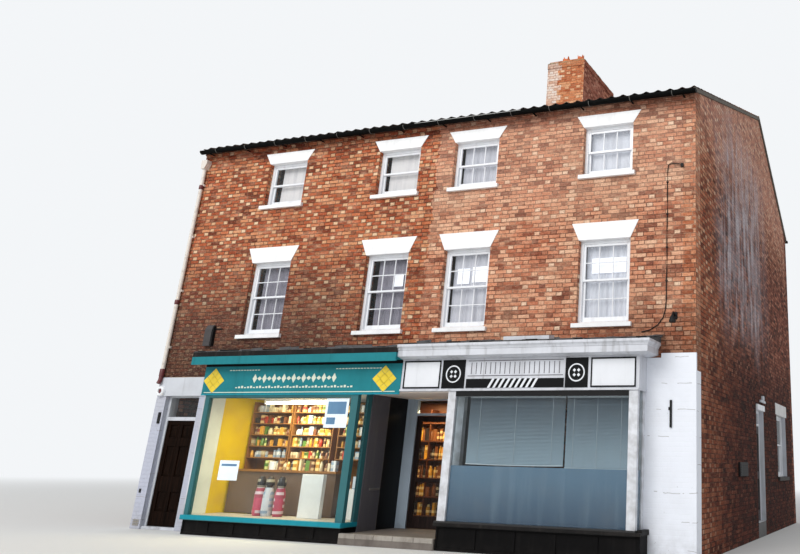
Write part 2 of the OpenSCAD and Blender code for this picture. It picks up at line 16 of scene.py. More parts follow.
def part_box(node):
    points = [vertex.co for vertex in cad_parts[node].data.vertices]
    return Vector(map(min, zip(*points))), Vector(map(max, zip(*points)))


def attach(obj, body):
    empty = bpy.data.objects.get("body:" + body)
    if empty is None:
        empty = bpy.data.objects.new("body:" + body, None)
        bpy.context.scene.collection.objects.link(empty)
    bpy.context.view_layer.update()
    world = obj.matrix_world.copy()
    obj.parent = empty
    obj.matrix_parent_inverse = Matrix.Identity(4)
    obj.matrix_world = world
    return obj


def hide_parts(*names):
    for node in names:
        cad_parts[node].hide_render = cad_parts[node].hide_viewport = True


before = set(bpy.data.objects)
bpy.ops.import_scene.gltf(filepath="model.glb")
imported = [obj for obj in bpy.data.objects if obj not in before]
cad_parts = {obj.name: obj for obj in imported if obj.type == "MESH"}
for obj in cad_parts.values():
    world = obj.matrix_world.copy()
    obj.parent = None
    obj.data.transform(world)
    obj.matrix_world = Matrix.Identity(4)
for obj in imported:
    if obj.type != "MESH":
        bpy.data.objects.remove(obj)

LOG = logging.getLogger("building")
BODY = "building"

Triple = Tuple[float, float, float]
Ring = Sequence[Union[Triple, Vector]]
Pair = Tuple[float, float]
Pairs = Sequence[Pair]
Block = Tuple[float, float, float, float, float, float]
Stops = Tuple[Tuple[float, Triple], ...]
Value = Union["Signal", float, Sequence[float], str]


def srgb(code: str) -> Triple:
    """Gives a linear colour.

    Args:
        code: The colour as seen on a screen, in six hex digits.

    Returns:
        The colour as linear values.
    """

    def linear(value: int) -> float:
        """Gives one linear value."""
        share = value / 255
        return share / 12.92 if share <= 0.04045 else ((share + 0.055) / 1.055) ** 2.4

    red, green, blue = bytes.fromhex(code)
    return linear(red), linear(green), linear(blue)


def stops(places: Sequence[float], codes: str) -> Stops:
    """Gives a ramp's places, each with its colour from a row of hex codes."""
    return tuple((place, srgb(code)) for place, code in zip(places, codes.split()))


class Signal:
    """One output of a shader node, on which Python's operators add Math nodes."""

    def __init__(self, graph: "Graph", socket: bpy.types.NodeSocket) -> None:
        """Keeps the graph and the socket."""
        self.graph = graph
        self.socket = socket

    def __add__(self, other: Value) -> "Signal":
        """Adds."""
        return self.graph.math("ADD", self, other)

    def __sub__(self, other: Value) -> "Signal":
        """Subtracts."""
        return self.graph.math("SUBTRACT", self, other)

    def __rsub__(self, other: Value) -> "Signal":
        """Subtracts from a number."""
        return self.graph.math("SUBTRACT", other, self)

    def __mul__(self, other: Value) -> "Signal":
        """Multiplies."""
        return self.graph.math("MULTIPLY", self, other)

    def __truediv__(self, other: Value) -> "Signal":
        """Divides."""
        return self.graph.math("DIVIDE", self, other)

    def __gt__(self, other: Value) -> "Signal":
        """Gives 1 where greater."""
        return self.graph.math("GREATER_THAN", self, other)

    def __lt__(self, other: Value) -> "Signal":
        """Gives 1 where less."""
        return self.graph.math("LESS_THAN", self, other)

    def __abs__(self) -> "Signal":
        """Gives the size without sign."""
        return self.graph.math("ABSOLUTE", self)

    __radd__ = __add__
    __rmul__ = __mul__

    def floor(self) -> "Signal":
        """Rounds down."""
        return self.graph.math("FLOOR", self)

    def least(self, other: Value) -> "Signal":
        """Gives the lesser of two."""
        return self.graph.math("MINIMUM", self, other)

    def most(self, other: Value) -> "Signal":
        """Gives the greater of two."""
        return self.graph.math("MAXIMUM", self, other)

    def rise(self, low: float, high: float) -> "Signal":
        """Climbs smoothly from 0 at low to 1 at high.

        Args:
            low: The value that gives 0.
            high: The value that gives 1.

        Returns:
            The smooth step.
        """
        ends = {"Value": self, "From Min": low, "From Max": high}
        return self.graph.node("ShaderNodeMapRange", {"interpolation_type": "SMOOTHSTEP"}, ends)


class Graph:
    """The node tree of one material, as something to write expressions in."""

    def __init__(self, tree: bpy.types.NodeTree) -> None:
        """Empties the tree."""
        self.tree = tree
        tree.nodes.clear()

    def feed(self, value: Value, target: bpy.types.NodeSocket) -> None:
        """Links a signal to a socket, or sets the socket's own value.

        Args:
            value: A signal, a number, a vector, a linear colour or a colour's hex digits.
            target: The input socket.
        """
        if isinstance(value, Signal):
            self.tree.links.new(value.socket, target)
        elif isinstance(value, (int, float)):
            target.default_value = value
        else:
            numbers = srgb(value) if isinstance(value, str) else tuple(value)
            target.default_value = (*numbers, 1.0)[:len(target.default_value)]

    def node(
        self, kind: str, settings: Dict[str, Any], inputs: Dict[Any, Value], out: Union[int, str] = 0
    ) -> Signal:
        """Adds a node of any kind.

        Args:
            kind: The node's type.
            settings: Its settings; "stops" holds a ramp's positions and colours.
            inputs: Values or signals by socket name or number.
            out: The output that is wanted.

        Returns:
            That output.
        """
        made = self.tree.nodes.new(kind)
        for key, value in settings.items():
            if key == "stops":
                while len(made.color_ramp.elements) < len(value):
                    made.color_ramp.elements.new(0.5)
                for element, (place, colour) in zip(made.color_ramp.elements, value):
                    element.position = place
                    element.color = tuple(colour) + (1.0,)
            else:
                setattr(made, key, value)
        for key, value in inputs.items():
            self.feed(value, made.inputs[key])
        return Signal(self, made.outputs[out])

    def math(self, operation: str, *values: Value) -> Signal:
        """Adds a Math node."""
        return self.node("ShaderNodeMath", {"operation": operation}, dict(enumerate(values)))

    def vector(self, operation: str, *values: Value) -> Signal:
        """Adds a Vector Math node."""
        return self.node("ShaderNodeVectorMath", {"operation": operation}, dict(enumerate(values)))

    @cached_property
    def point(self) -> Signal:
        """The place on the surface, in metres."""
        return self.node("ShaderNodeTexCoord", {}, {}, "Object")

    @cached_property
    def xyz(self) -> Tuple[Signal, Signal, Signal]:
        """The three numbers of the place on the surface."""
        return self.split(self.point)

    @cached_property
    def sideways(self) -> Signal:
        """1 on faces that look along X."""
        return abs(self.split(self.node("ShaderNodeNewGeometry", {}, {}, "True Normal"))[0]) > 0.5

    def split(self, vector: Signal) -> Tuple[Signal, Signal, Signal]:
        """Parts a vector into its three numbers."""
        outputs = self.node("ShaderNodeSeparateXYZ", {}, {0: vector}).socket.node.outputs
        return Signal(self, outputs[0]), Signal(self, outputs[1]), Signal(self, outputs[2])

    def join(self, x: Value, y: Value, z: Value) -> Signal:
        """Makes a vector from three numbers."""
        return self.node("ShaderNodeCombineXYZ", {}, {0: x, 1: y, 2: z})

    def stretch(self, x: float, y: float, z: float) -> Signal:
        """Gives the place on the surface, scaled along each axis."""
        return self.vector("MULTIPLY", self.point, (x, y, z))

    def noise(
        self, scale: float, detail: float = 3.0, rough: float = 0.55, at: Optional[Signal] = None
    ) -> Signal:
        """Gives smooth noise about 0.5.

        Args:
            scale: Waves per metre.
            detail: How many finer waves are added.
            rough: How strong those are.
            at: Where it is read, if not at the place on the surface.

        Returns:
            The noise.
        """
        place = self.point if at is None else at
        inputs = {"Vector": place, "Scale": scale, "Detail": detail, "Roughness": rough}
        return self.node("ShaderNodeTexNoise", {}, inputs, "Fac")

    def chance(self, vector: Signal) -> Signal:
        """Gives a random number for each whole-numbered cell."""
        return self.node("ShaderNodeTexWhiteNoise", {"noise_dimensions": "3D"}, {"Vector": vector}, "Value")

    def mix(self, share: Value, first: Value, second: Value, blend: str = "MIX") -> Signal:
        """Mixes two colours by a share."""
        settings = {"data_type": "RGBA", "blend_type": blend}
        return self.node("ShaderNodeMix", settings, {0: share, 6: first, 7: second}, 2)

    def ramp(self, value: Signal, colours: Stops) -> Signal:
        """Turns a number into a colour."""
        return self.node("ShaderNodeValToRGB", {"stops": colours}, {0: value})

    def streaks(self, fine: float, along: float) -> Signal:
        """Gives noise drawn out along Z, by its changes per metre across and along."""
        return self.noise(1.0, at=self.stretch(fine, fine, along))

    def relief(self, height: Signal, depth: float, strength: float = 1.0) -> Signal:
        """Turns heights from 0 to 1 into a bump of that depth in metres."""
        inputs = {"Strength": strength, "Distance": depth, "Height": height}
        return self.node("ShaderNodeBump", {}, inputs)

    def surface(
        self, colour: Value, rough: Value, height: Optional[Signal] = None, depth: float = 0.0,
        **others: Value,
    ) -> None:
        """Adds the main shader and connects it to the output.

        Args:
            colour: Base colour.
            rough: Roughness.
            height: Heights from 0 to 1 for a bump.
            depth: The bump's depth in metres.
            **others: More inputs, with underscores for spaces.
        """
        inputs = {"Base Color": colour, "Roughness": rough}
        inputs.update((name.replace("_", " "), value) for name, value in others.items())
        if height is not None:
            inputs["Normal"] = self.relief(height, depth)
        self.finish(self.node("ShaderNodeBsdfPrincipled", {}, inputs))

    def finish(self, shader: Signal) -> None:
        """Connects a shader to the material's output."""
        output = self.tree.nodes.new("ShaderNodeOutputMaterial")
        self.tree.links.new(shader.socket, output.inputs["Surface"])


MADE: Dict[str, bpy.types.Material] = {}


@dataclass(frozen=True)
class Finish:
    """A finish of some part of the building."""

    name: str

    def shade(self, g: Graph) -> None:
        """Lays out the finish's nodes."""
        raise NotImplementedError

    def material(self) -> bpy.types.Material:
        """Makes the finish's material on first use.

        Returns:
            The material.
        """
        if self.name not in MADE:
            made = bpy.data.materials.new("look_" + self.name)
            made.use_nodes = True
            self.shade(Graph(made.node_tree))
            MADE[self.name] = made
        return MADE[self.name]


@dataclass(frozen=True)
class Laid:
    """What a bond tells about each point of a wall."""

    edge: Signal
    above: Signal
    tone: Signal
    other: Signal
    header: Signal

    def mortar(self, joint: float) -> Signal:
        """Masks the mortar of joints of a given width."""
        return 1 - self.edge.rise(joint * 0.25, joint * 0.8)

    def shadow(self, joint: float) -> Signal:
        """Masks the shadow that the brick above throws on its joint."""
        return (1 - self.above.rise(joint * 0.3, joint * 0.9)) * (self.tone * 0.6 + 0.4)


@dataclass(frozen=True)
class Bond:
    """Brick sizes and the bond they are laid in, in metres."""

    course: float = 0.077
    stretcher: float = 0.218
    header: float = 0.104
    joint: float = 0.01

    def lay(self, g: Graph, across: Signal, up: Signal, seed: float) -> Laid:
        """Lays headers and stretchers in turn in every course.

        Args:
            g: The material's graph.
            across: Distance along the wall.
            up: Height.
            seed: Picks the random tones.

        Returns:
            The distances to the nearest joint and above the last one, two tones and a mask of the headers.
        """
        period = self.stretcher + self.header + 2 * self.joint
        row = (up / self.course).floor()
        half = row * 0.5
        odd = (half - half.floor()) * 2
        drift = g.chance(g.join(row, seed, 0.0)) * 0.05
        run = across + odd * (period / 2) + drift
        count = (run / period).floor()
        place = run - count * period
        first = self.stretcher + self.joint
        is_header = place > first
        start = is_header * first
        width = first + is_header * (self.header - self.stretcher)
        along = place - start
        rise = up - row * self.course
        edge = along.least(width - along).least(rise.least(self.course - rise))
        cell = g.join(count * 2 + is_header, row, seed)
        return Laid(edge, rise, g.chance(cell), g.chance(g.vector("ADD", cell, (17.0, 5.0, 3.0))), is_header)


@dataclass(frozen=True)
class Palette:
    """Tones of the bricks in one part of a wall, from darkest to palest, and of clean and sooty mortar; the
    sooty tone also paints the shadow under each brick, as strong as shadow says.
    """

    stretchers: Stops
    headers: Stops
    mortar: str
    soot: str
    shadow: float = 0.5
    joint: float = 0.01


OLD_RED = Palette(
    stops((0.0, 0.3, 0.7, 1.0), "7a402e b45c3c d0764e e4a074"),
    stops((0.0, 0.3, 0.7, 1.0), "965840 d08e66 ecbc90 fadeba"),
    "9e745c", "603e32", 0.65, 0.017,
)
PALE_ORANGE = Palette(
    stops((0.0, 0.25, 0.65, 1.0), "8c5442 c67e60 e29e7c f2c4a4"),
    stops((0.0, 0.35, 0.75, 1.0), "8a5444 d08e6e ecb694 f8dabe"),
    "b88e76", "744c3e", 0.62, 0.015,
)
QUOIN_ORANGE = Palette(
    stops((0.0, 0.5, 1.0), "96563c cc7c56 e29c74"),
    stops((0.0, 0.5, 1.0), "aa6446 d4926e eec6a6"),
    "be967c", "7a5444", 0.5, 0.014,
)
DARK_BROWN = Palette(
    stops((0.0, 0.35, 0.75, 1.0), "40221c 764032 985844 ba7c64"),
    stops((0.0, 0.4, 0.8, 1.0), "38201b 824a3a aa6850 ca947a"),
    "7e5c50", "3a2520", 0.6, 0.016,
)
STACK_TAN = Palette(
    stops((0.0, 0.5, 1.0), "c6704a ec9a6a fcc89c"),
    stops((0.0, 0.5, 1.0), "b46242 eea070 fed6ae"),
    "e2ac86", "966046", 0.3,
)
STACK_PINK = Palette(
    stops((0.0, 0.5, 1.0), "eac0a8 fee4d2 fff4ea"),
    stops((0.0, 0.5, 1.0), "e4b49a fee6d4 fff5eb"),
    "dca890", "be826a", 0.4,
)
STACK_SIDE = Palette(
    stops((0.0, 0.5, 1.0), "905040 bc725e de9e86"),
    stops((0.0, 0.5, 1.0), "844838 c07660 e6aa92"),
    "c89884", "7e5244", 0.4,
)


class Wall(Enum):
    """Which wall a brickwork finish is for."""

    STREET = "street"
    GABLE = "gable"
    STACK = "stack"
    PLAIN = "plain"


@dataclass(frozen=True)
class Brickwork(Finish):
    """Weathered brick in lime mortar."""

    wall: Wall = Wall.PLAIN
    bond: Bond = Bond()
    seed: float = 1.0
    bloom: float = 1.0

    def shade(self, g: Graph) -> None:
        """Lays the bricks, colours them for their wall and adds dirt.

        Args:
            g: The graph of its material.
        """
        bent = g.point
        for scale, reach in ((9.0, 0.014), (48.0, 0.011)):
            inputs = {"Vector": g.point, "Scale": scale, "Detail": 2.0}
            noise = g.node("ShaderNodeTexNoise", {}, inputs, "Color")
            swing = g.vector("SUBTRACT", noise, (0.5, 0.5, 0.5))
            bent = g.vector("ADD", bent, g.vector("MULTIPLY", swing, (reach, reach, reach * 0.8)))
        x, y, z = g.split(bent)
        laid = self.bond.lay(g, x + g.sideways * (y - x) + 40.0, z, self.seed)
        patchy = g.noise(2.1, 4.0).rise(0.38, 0.62)

        def bricks(palette: Palette) -> Signal:
            """Colours bricks and mortar.

            Args:
                palette: Their tones.

            Returns:
                The colour.
            """
            stretchers, headers = g.ramp(laid.tone, palette.stretchers), g.ramp(laid.other, palette.headers)
            bed = g.mix(patchy, palette.mortar, palette.soot)
            face = g.mix(laid.mortar(palette.joint) * 0.9, g.mix(laid.header, stretchers, headers), bed)
            # Painted shadow under each brick, in the sooty mortar's tone.
            return g.mix(laid.shadow(palette.joint) * palette.shadow, face, palette.soot)

        colour = self.colours(g, bricks, *g.split(g.vector("SUBTRACT", g.point, tuple(street_corner()))))
        grain = g.noise(70.0, 3.0, 0.6)
        mottle = g.noise(27.0, 4.0, 0.7)
        colour = g.mix(grain.rise(0.3, 0.75) * 0.35, colour, (0.4, 0.3, 0.26), "MULTIPLY")
        colour = g.mix((1 - mottle.rise(0.3, 0.55)) * 0.55, colour, (0.42, 0.34, 0.3), "MULTIPLY")
        colour = g.mix(mottle.rise(0.55, 0.75) * (0.35 * self.bloom), colour, "deba9c")
        ragged = g.noise(1.0, 3.0, 0.6, g.vector("MULTIPLY", bent, (9.0, 9.0, 62.0)))
        colour = g.mix((1 - ragged.rise(0.32, 0.52)) * 0.45, colour, (0.4, 0.34, 0.32), "MULTIPLY")
        colour = g.mix(ragged.rise(0.54, 0.72) * (0.3 * self.bloom), colour, "e8c8ac")
        height = (1 - laid.mortar(self.bond.joint)) * 0.8 + grain * 0.2
        g.surface(colour, 0.88, height, 0.008, Specular_IOR_Level=0.12)

    def colours(
        self, g: Graph, bricks: Callable[[Palette], Signal], x: Signal, y: Signal, z: Signal
    ) -> Signal:
        """Colours each part of the wall.

        Args:
            g: The material's graph.
            bricks: Gives the coloured bricks of a palette.
            x: Distance from the party wall.
            y: Distance behind the street face.
            z: Height.

        Returns:
            The colour.
        """
        cloud = g.noise(1.1, 4.0)
        patch = g.noise(0.9, at=g.vector("ADD", g.point, (7.0, 3.0, 0.0)))
        if self.wall is Wall.STREET:
            tooth = g.noise(1.4, 1.0, at=g.stretch(1.0, 1.0, 6.0)) * 0.3
            right = x > (tooth + 5.98)
            colour = g.mix(right, bricks(OLD_RED), bricks(PALE_ORANGE))
            colour = g.mix((x > 11.27) * 0.9, colour, bricks(QUOIN_ORANGE))
            colour = g.mix(patch.rise(0.5, 0.66) * 0.45, colour, (1.0, 0.8, 0.72), "MULTIPLY")
            colour = g.mix((1 - patch.rise(0.36, 0.5)) * right * 0.3, colour, "d8b092")
            clots = g.noise(1.0, 4.0, 0.7, g.stretch(2.6, 2.6, 7.0))
            colour = g.mix(clots.rise(0.5, 0.66) * 0.42, colour, (0.54, 0.42, 0.39), "MULTIPLY")
            colour = g.mix((1 - clots.rise(0.34, 0.5)) * 0.28, colour, "f0c6a6")
            colour = g.mix(right * z.rise(5.4, 6.6) * 0.14, colour, "fad6be")
            sooty = (1 - z.rise(3.5, 6.0)) * (1 - x.rise(3.0, 7.0)) * 0.8
            colour = g.mix(sooty, colour, "4a3a36")
            colour = g.mix((1 - z.rise(3.2, 3.8)) * 0.45, colour, (0.42, 0.34, 0.32), "MULTIPLY")
            damp = (1 - (z + cloud).rise(3.9, 4.9)) * x.rise(9.2, 10.6) * 0.55
            colour = g.mix(damp, colour, (0.4, 0.32, 0.3), "MULTIPLY")
            # Painted shade: the top of the wall darkens under the gutter and the oversailing courses.
            colour = g.mix(z.rise(7.46, 7.72) * 0.65, colour, (0.36, 0.26, 0.27), "MULTIPLY")
            return g.mix(cloud.rise(0.42, 0.72) * 0.3, colour, (0.62, 0.55, 0.52), "MULTIPLY")
        if self.wall is Wall.GABLE:
            colour = g.mix((1 - y.rise(0.5, 2.6)) * 0.55, bricks(DARK_BROWN), bricks(OLD_RED))
            colour = g.mix(z.rise(5.8, 8.2) * 0.95, colour, bricks(PALE_ORANGE))
            red = g.noise(2.2, 4.0, 0.65).rise(0.44, 0.6) * (1 - z.rise(3.6, 5.2)) * (1 - y.rise(2.0, 4.4))
            colour = g.mix(red * 0.8, colour, bricks(QUOIN_ORANGE))
            edge = g.noise(0.8, 5.0, 0.6) * 2.4
            back, up = y + edge, z + edge
            band = back.rise(2.4, 3.9) * (1 - back.rise(6.4, 8.8)) * up.rise(4.4, 6.4)
            band = band * (1 - z.rise(7.6, 9.2))
            colour = g.mix(band * 0.4, colour, (0.62, 0.6, 0.66), "MULTIPLY")
            marks = g.streaks(5.0, 0.5).rise(0.42, 0.62) * 0.65 + g.noise(1.6, 4.0).rise(0.4, 0.62) * 0.45
            colour = g.mix(band * (marks * 0.88 + 0.06), colour, "cac4cb")
            # Darker brick and painted shade: the gable's foot darkens towards the rear, where the
            # neighbouring wall shades it.
            low = (1 - z.rise(2.6, 4.6)) * y.rise(-3.0, 3.4) * 0.95
            colour = g.mix(low, colour, (0.24, 0.13, 0.11), "MULTIPLY")
            colour = g.mix(z.rise(6.6, 8.4) * 0.22, colour, "ecc4ba")
            return g.mix(cloud.rise(0.45, 0.75) * 0.35, colour, (0.55, 0.48, 0.46), "MULTIPLY")
        if self.wall is Wall.STACK:
            step = (z / 0.154).floor() * 0.5
            front = (x < ((step - step.floor()) * 0.24 + 6.08)) * (y < 5.6)
            colour = g.mix(front, bricks(STACK_TAN), bricks(STACK_PINK))
            colour = g.mix(x > 6.875, colour, bricks(STACK_SIDE))
            rust = patch.rise(0.42, 0.6) * (1 - front) * 0.4
            colour = g.mix(rust, colour, (0.86, 0.62, 0.46), "MULTIPLY")
            colour = g.mix((z > 11.86) * 0.55, colour, (0.56, 0.4, 0.34), "MULTIPLY")
            return g.mix(cloud.rise(0.45, 0.8) * 0.25, colour, (0.6, 0.54, 0.5), "MULTIPLY")
        return g.mix(cloud.rise(0.4, 0.7) * 0.4, bricks(DARK_BROWN), (0.55, 0.48, 0.46), "MULTIPLY")


@dataclass(frozen=True)
class Paint(Finish):
    """Brushed paint with grime that gathers low down and runs in streaks."""

    colour: str
    grime: str
    dirt: float = 0.3
    foot: float = 0.6
    streak: float = 0.25
    chips: float = 0.0
    rough: float = 0.45
    coat: float = 0.0
    gloss: float = 0.5
    below: float = 0.0

    def shade(self, g: Graph) -> None:
        """Adds blotches, streaks, a dirty foot and chips to the paint.

        Args:
            g: The graph of its material.
        """
        z = g.xyz[2]
        cloud = g.noise(1.7, 5.0, 0.62)
        runs = g.streaks(9.0, 0.7)
        colour = g.mix(cloud.rise(0.35, 0.75) * self.dirt * 0.5, self.colour, self.grime)
        colour = g.mix(runs.rise(0.52, 0.78) * self.streak, colour, self.grime)
        foot = (1 - z.rise(0.0, self.foot)) * g.noise(6.0, 4.0).rise(0.3, 0.7)
        colour = g.mix(foot * min(1.0, self.dirt * 1.8), colour, self.grime)
        worn = g.noise(21.0, 5.0, 0.7)
        colour = g.mix((worn > (0.8 - self.chips * 0.2)) * min(1.0, self.chips * 2), colour, self.grime)
        if self.below:
            colour = g.mix(z < self.below, colour, "181718")
        brush = g.noise(1.0, 2.0, at=g.stretch(40.0, 40.0, 9.0))
        rough = cloud * 0.22 + (self.rough - 0.08)
        relief = brush + worn * 0.6
        g.surface(colour, rough, relief, 0.0012, Coat_Weight=self.coat, Specular_IOR_Level=self.gloss)


@dataclass(frozen=True)
class PaintedMasonry(Finish):
    """White masonry paint over brick or render, with hairline cracks and spots."""

    colour: str
    dirt: float
    courses: float
    below: float = 0.0

    def shade(self, g: Graph) -> None:
        """Shows faint courses, cracks, spots and a grimy foot through the paint.

        Args:
            g: The graph of its material.
        """
        x, y, z = g.xyz
        mortar = Bond().lay(g, x + g.sideways * (y - x) + 40.0, z, 4.0).mortar(Bond().joint)
        wave = g.noise(3.0) * 0.08
        level = (z + wave) / 0.42
        crack = abs(level - level.floor() - 0.5)
        cracks = (crack < 0.012) * (g.noise(4.0, 2.0) > 0.52)
        spots = g.noise(17.0, 5.0, 0.72) > 0.7
        cloud = g.noise(1.3, 5.0, 0.6)
        colour = g.mix(cloud.rise(0.38, 0.8) * self.dirt, self.colour, "bababe")
        colour = g.mix(cracks.most(spots * 0.7) * 0.55, colour, "78706c")
        foot = (1 - z.rise(0.0, 0.7)) * g.noise(7.0, 4.0).rise(0.3, 0.7)
        colour = g.mix(foot * 0.22, colour, "78726e")
        if self.below:
            colour = g.mix(z < self.below, colour, "1a191a")
        height = (1 - mortar) * self.courses + g.noise(30.0) * 0.3
        g.surface(colour, 0.62, height, 0.005, Specular_IOR_Level=0.3)


@dataclass(frozen=True)
class Stone(Finish):
    """Worn stone or concrete."""

    colour: str
    stain: str
    share: float
    rough: float
    below: float = 0.0

    def shade(self, g: Graph) -> None:
        """Mottles and stains the stone.

        Args:
            g: The graph of its material.
        """
        z = g.xyz[2]
        cloud = g.noise(3.5, 6.0, 0.65)
        speck = g.noise(60.0, 3.0, 0.7)
        runs = g.streaks(12.0, 1.2).rise(0.5, 0.8)
        colour = g.mix(cloud.rise(0.3, 0.75) * self.share, self.colour, self.stain)
        colour = g.mix(runs * self.share * 0.6, colour, self.stain)
        colour = g.mix(speck.rise(0.55, 0.75) * 0.25, colour, self.stain)
        if self.below:
            colour = g.mix(z < self.below, colour, "2c2826")
        g.surface(colour, self.rough, cloud + speck * 0.5, 0.004)


@dataclass(frozen=True)
class ClayTile(Finish):
    """Weathered clay tiles, each with its own tone, with lichen."""

    pitch: float = 0.2306
    gauge: float = 0.262

    def shade(self, g: Graph) -> None:
        """Varies the tone tile by tile and grows lichen.

        Args:
            g: The graph of its material.
        """
        x, y, z = g.xyz
        tone = g.chance(g.join(((x + 40.0) / self.pitch).floor(), ((y + 40.0) / self.gauge).floor(), 2.0))
        colour = g.ramp(tone, stops((0.0, 0.35, 0.7, 1.0), "4a342c 624032 7a4c38 8c5c46"))
        soot = g.noise(1.5, 5.0, 0.6)
        colour = g.mix(soot.rise(0.35, 0.7) * 0.6, colour, "342c28")
        lichen = g.noise(24.0, 4.0, 0.6).rise(0.6, 0.7) * g.noise(2.0, 2.0).rise(0.4, 0.6)
        colour = g.mix(lichen * 0.7, colour, "969884")
        moss = g.noise(7.0, 4.0, 0.65).rise(0.62, 0.74)
        colour = g.mix(moss * 0.5, colour, "4a522c")
        # Painted shade: the tiles darken towards the eaves, over the gutter.
        eaves_shade = 1 - (y - street_corner().y).rise(0.05, 0.55)
        colour = g.mix(eaves_shade * 0.85, colour, "222423")
        g.surface(colour, 0.85, g.noise(55.0, 4.0), 0.004, Specular_IOR_Level=0.2)


@dataclass(frozen=True)
class Timber(Finish):
    """Stained or varnished wood with grain along Z or X."""

    light: str
    dark: str
    coat: float
    level: bool = False
    gloss: float = 0.5

    def shade(self, g: Graph) -> None:
        """Draws out the grain and varnishes it.

        Args:
            g: The graph of its material.
        """
        grain = g.noise(1.0, 5.0, 0.65, g.stretch(*((2.0, 40.0, 40.0) if self.level else (40.0, 40.0, 2.0))))
        cloud = g.noise(2.4)
        colour = g.mix(grain.rise(0.3, 0.7), self.dark, self.light)
        colour = g.mix(cloud.rise(0.4, 0.8) * 0.4, colour, self.dark)
        g.surface(
            colour, grain * 0.2 + 0.3, grain, 0.0008, Coat_Weight=self.coat, Coat_Roughness=0.12,
            Specular_IOR_Level=self.gloss,
        )


@dataclass(frozen=True)
class Metal(Finish):
    """Painted iron, lead or plain metal, with wear."""

    colour: str
    wear: str
    share: float
    rough: float
    metallic: float = 0.0
    gloss: float = 0.5

    def shade(self, g: Graph) -> None:
        """Wears through the surface in blotches and streaks.

        Args:
            g: The graph of its material.
        """
        worn = g.noise(9.0, 6.0, 0.68)
        runs = g.streaks(16.0, 2.0)
        mask = worn.rise(0.5, 0.72) * self.share + runs.rise(0.6, 0.8) * self.share * 0.5
        colour = g.mix(mask, self.colour, self.wear)
        rough = worn * 0.3 + (self.rough - 0.15)
        g.surface(colour, rough, worn, 0.002, Metallic=self.metallic, Specular_IOR_Level=self.gloss)


@dataclass(frozen=True)
class Glass(Finish):
    """A thin pane: clear straight on, a mirror at a slant, with a little dust."""

    tint: Triple
    dust: float
    gain: float

    def shade(self, g: Graph) -> None:
        """Mixes a see-through shader with a reflecting one.

        Args:
            g: The graph of its material.
        """
        clear = g.node("ShaderNodeBsdfTransparent", {}, {"Color": self.tint})
        smear = g.noise(2.2, 5.0, 0.6)
        pane = g.node("ShaderNodeBsdfPrincipled", {}, {
            "Base Color": (0.35, 0.37, 0.38), "Roughness": smear * 0.1 + 0.01, "Specular IOR Level": 1.0,
            "Normal": g.relief(g.noise(1.6, 2.0), 0.004, 0.5),
        })
        glance = g.node("ShaderNodeFresnel", {}, {"IOR": 1.5})
        outside = 1 - g.node("ShaderNodeNewGeometry", {}, {}, "Backfacing")
        share = (glance * self.gain * outside + smear.rise(0.4, 0.8) * self.dust).least(1.0)
        g.finish(g.node("ShaderNodeMixShader", {}, {0: share, 1: clear, 2: pane}))


@dataclass(frozen=True)
class Film(Finish):
    """Frosted film stuck to the inside of a pane, slightly streaked."""

    top: str
    foot: str
    span: Pair = (0.4, 1.35)
    alpha: float = 0.94
    coat: float = 0.4

    def shade(self, g: Graph) -> None:
        """Blends from the foot colour to the top colour up the height and streaks it.

        Args:
            g: The graph of its material.
        """
        runs = g.streaks(7.0, 0.4)
        colour = g.mix(g.xyz[2].rise(*self.span), self.foot, self.top)
        colour = g.mix(runs.rise(0.45, 0.75) * 0.16, colour, "96a8b4")
        alpha = (runs * 0.08 + (self.alpha - 0.04)).least(1.0)
        g.surface(colour, 0.34, Alpha=alpha, Coat_Weight=self.coat, Coat_Roughness=0.06)


@dataclass(frozen=True)
class Cloth(Finish):
    """Thin woven cloth that lets some light through."""

    colour: str
    alpha: float
    # Painted light: how much the cloth glows, though no lamp lights it.
    glow: float = 0.0

    def shade(self, g: Graph) -> None:
        """Weaves fine threads and varies how close they lie.

        Args:
            g: The graph of its material.
        """
        place = {"Vector": g.point, "Scale": 160.0}
        thread = g.node("ShaderNodeTexWave", {"wave_type": "BANDS"}, place, "Fac")
        cloud = g.noise(1.0, 3.0, at=g.stretch(9.0, 9.0, 1.0))
        colour = g.mix(cloud.rise(0.35, 0.75) * 0.35, self.colour, "96969e")
        alpha = (cloud * 0.25 + (self.alpha - 0.12)).least(1.0)
        g.surface(
            colour, 0.9, thread, 0.0006, Alpha=alpha, Sheen_Weight=0.2, Emission_Color=colour,
            Emission_Strength=self.glow,
        )


@dataclass(frozen=True)
class Glow(Finish):
    """A lit lamp tube."""

    colour: Triple = (1.0, 0.86, 0.55)
    strength: float = 14.0

    def shade(self, g: Graph) -> None:
        """Glows, a little warmer in patches along the tube."""
        warm = g.mix(g.noise(3.0, 1.0) * 0.2, self.colour, (1.0, 0.72, 0.35))
        g.surface((0.8, 0.8, 0.75), 0.3, Emission_Color=warm, Emission_Strength=self.strength)


@dataclass(frozen=True)
class Packet(Finish):
    """A printed packet or jar: plain bands of colour, with a slight gloss."""

    colour: str
    band: str
    # Painted light: how much the packet glows, though no lamp lights it.
    glow: float

    def shade(self, g: Graph) -> None:
        """Puts a paler band on some of the packets.

        Args:
            g: The graph of its material.
        """
        x, y, z = g.xyz
        tone = g.chance(g.join((x / 0.085).floor(), (y / 0.2).floor(), (z / 0.22).floor()))
        place = z / 0.11
        label = ((place - place.floor()) > 0.55) * (tone > 0.45)
        colour = g.mix(tone * 0.5, self.colour, "3c2818")
        colour = g.mix(label * 0.75, colour, self.band)
        bumps = g.noise(40.0, 2.0)
        g.surface(colour, tone * 0.3 + 0.25, bumps, 0.001, Emission_Color=colour, Emission_Strength=self.glow)


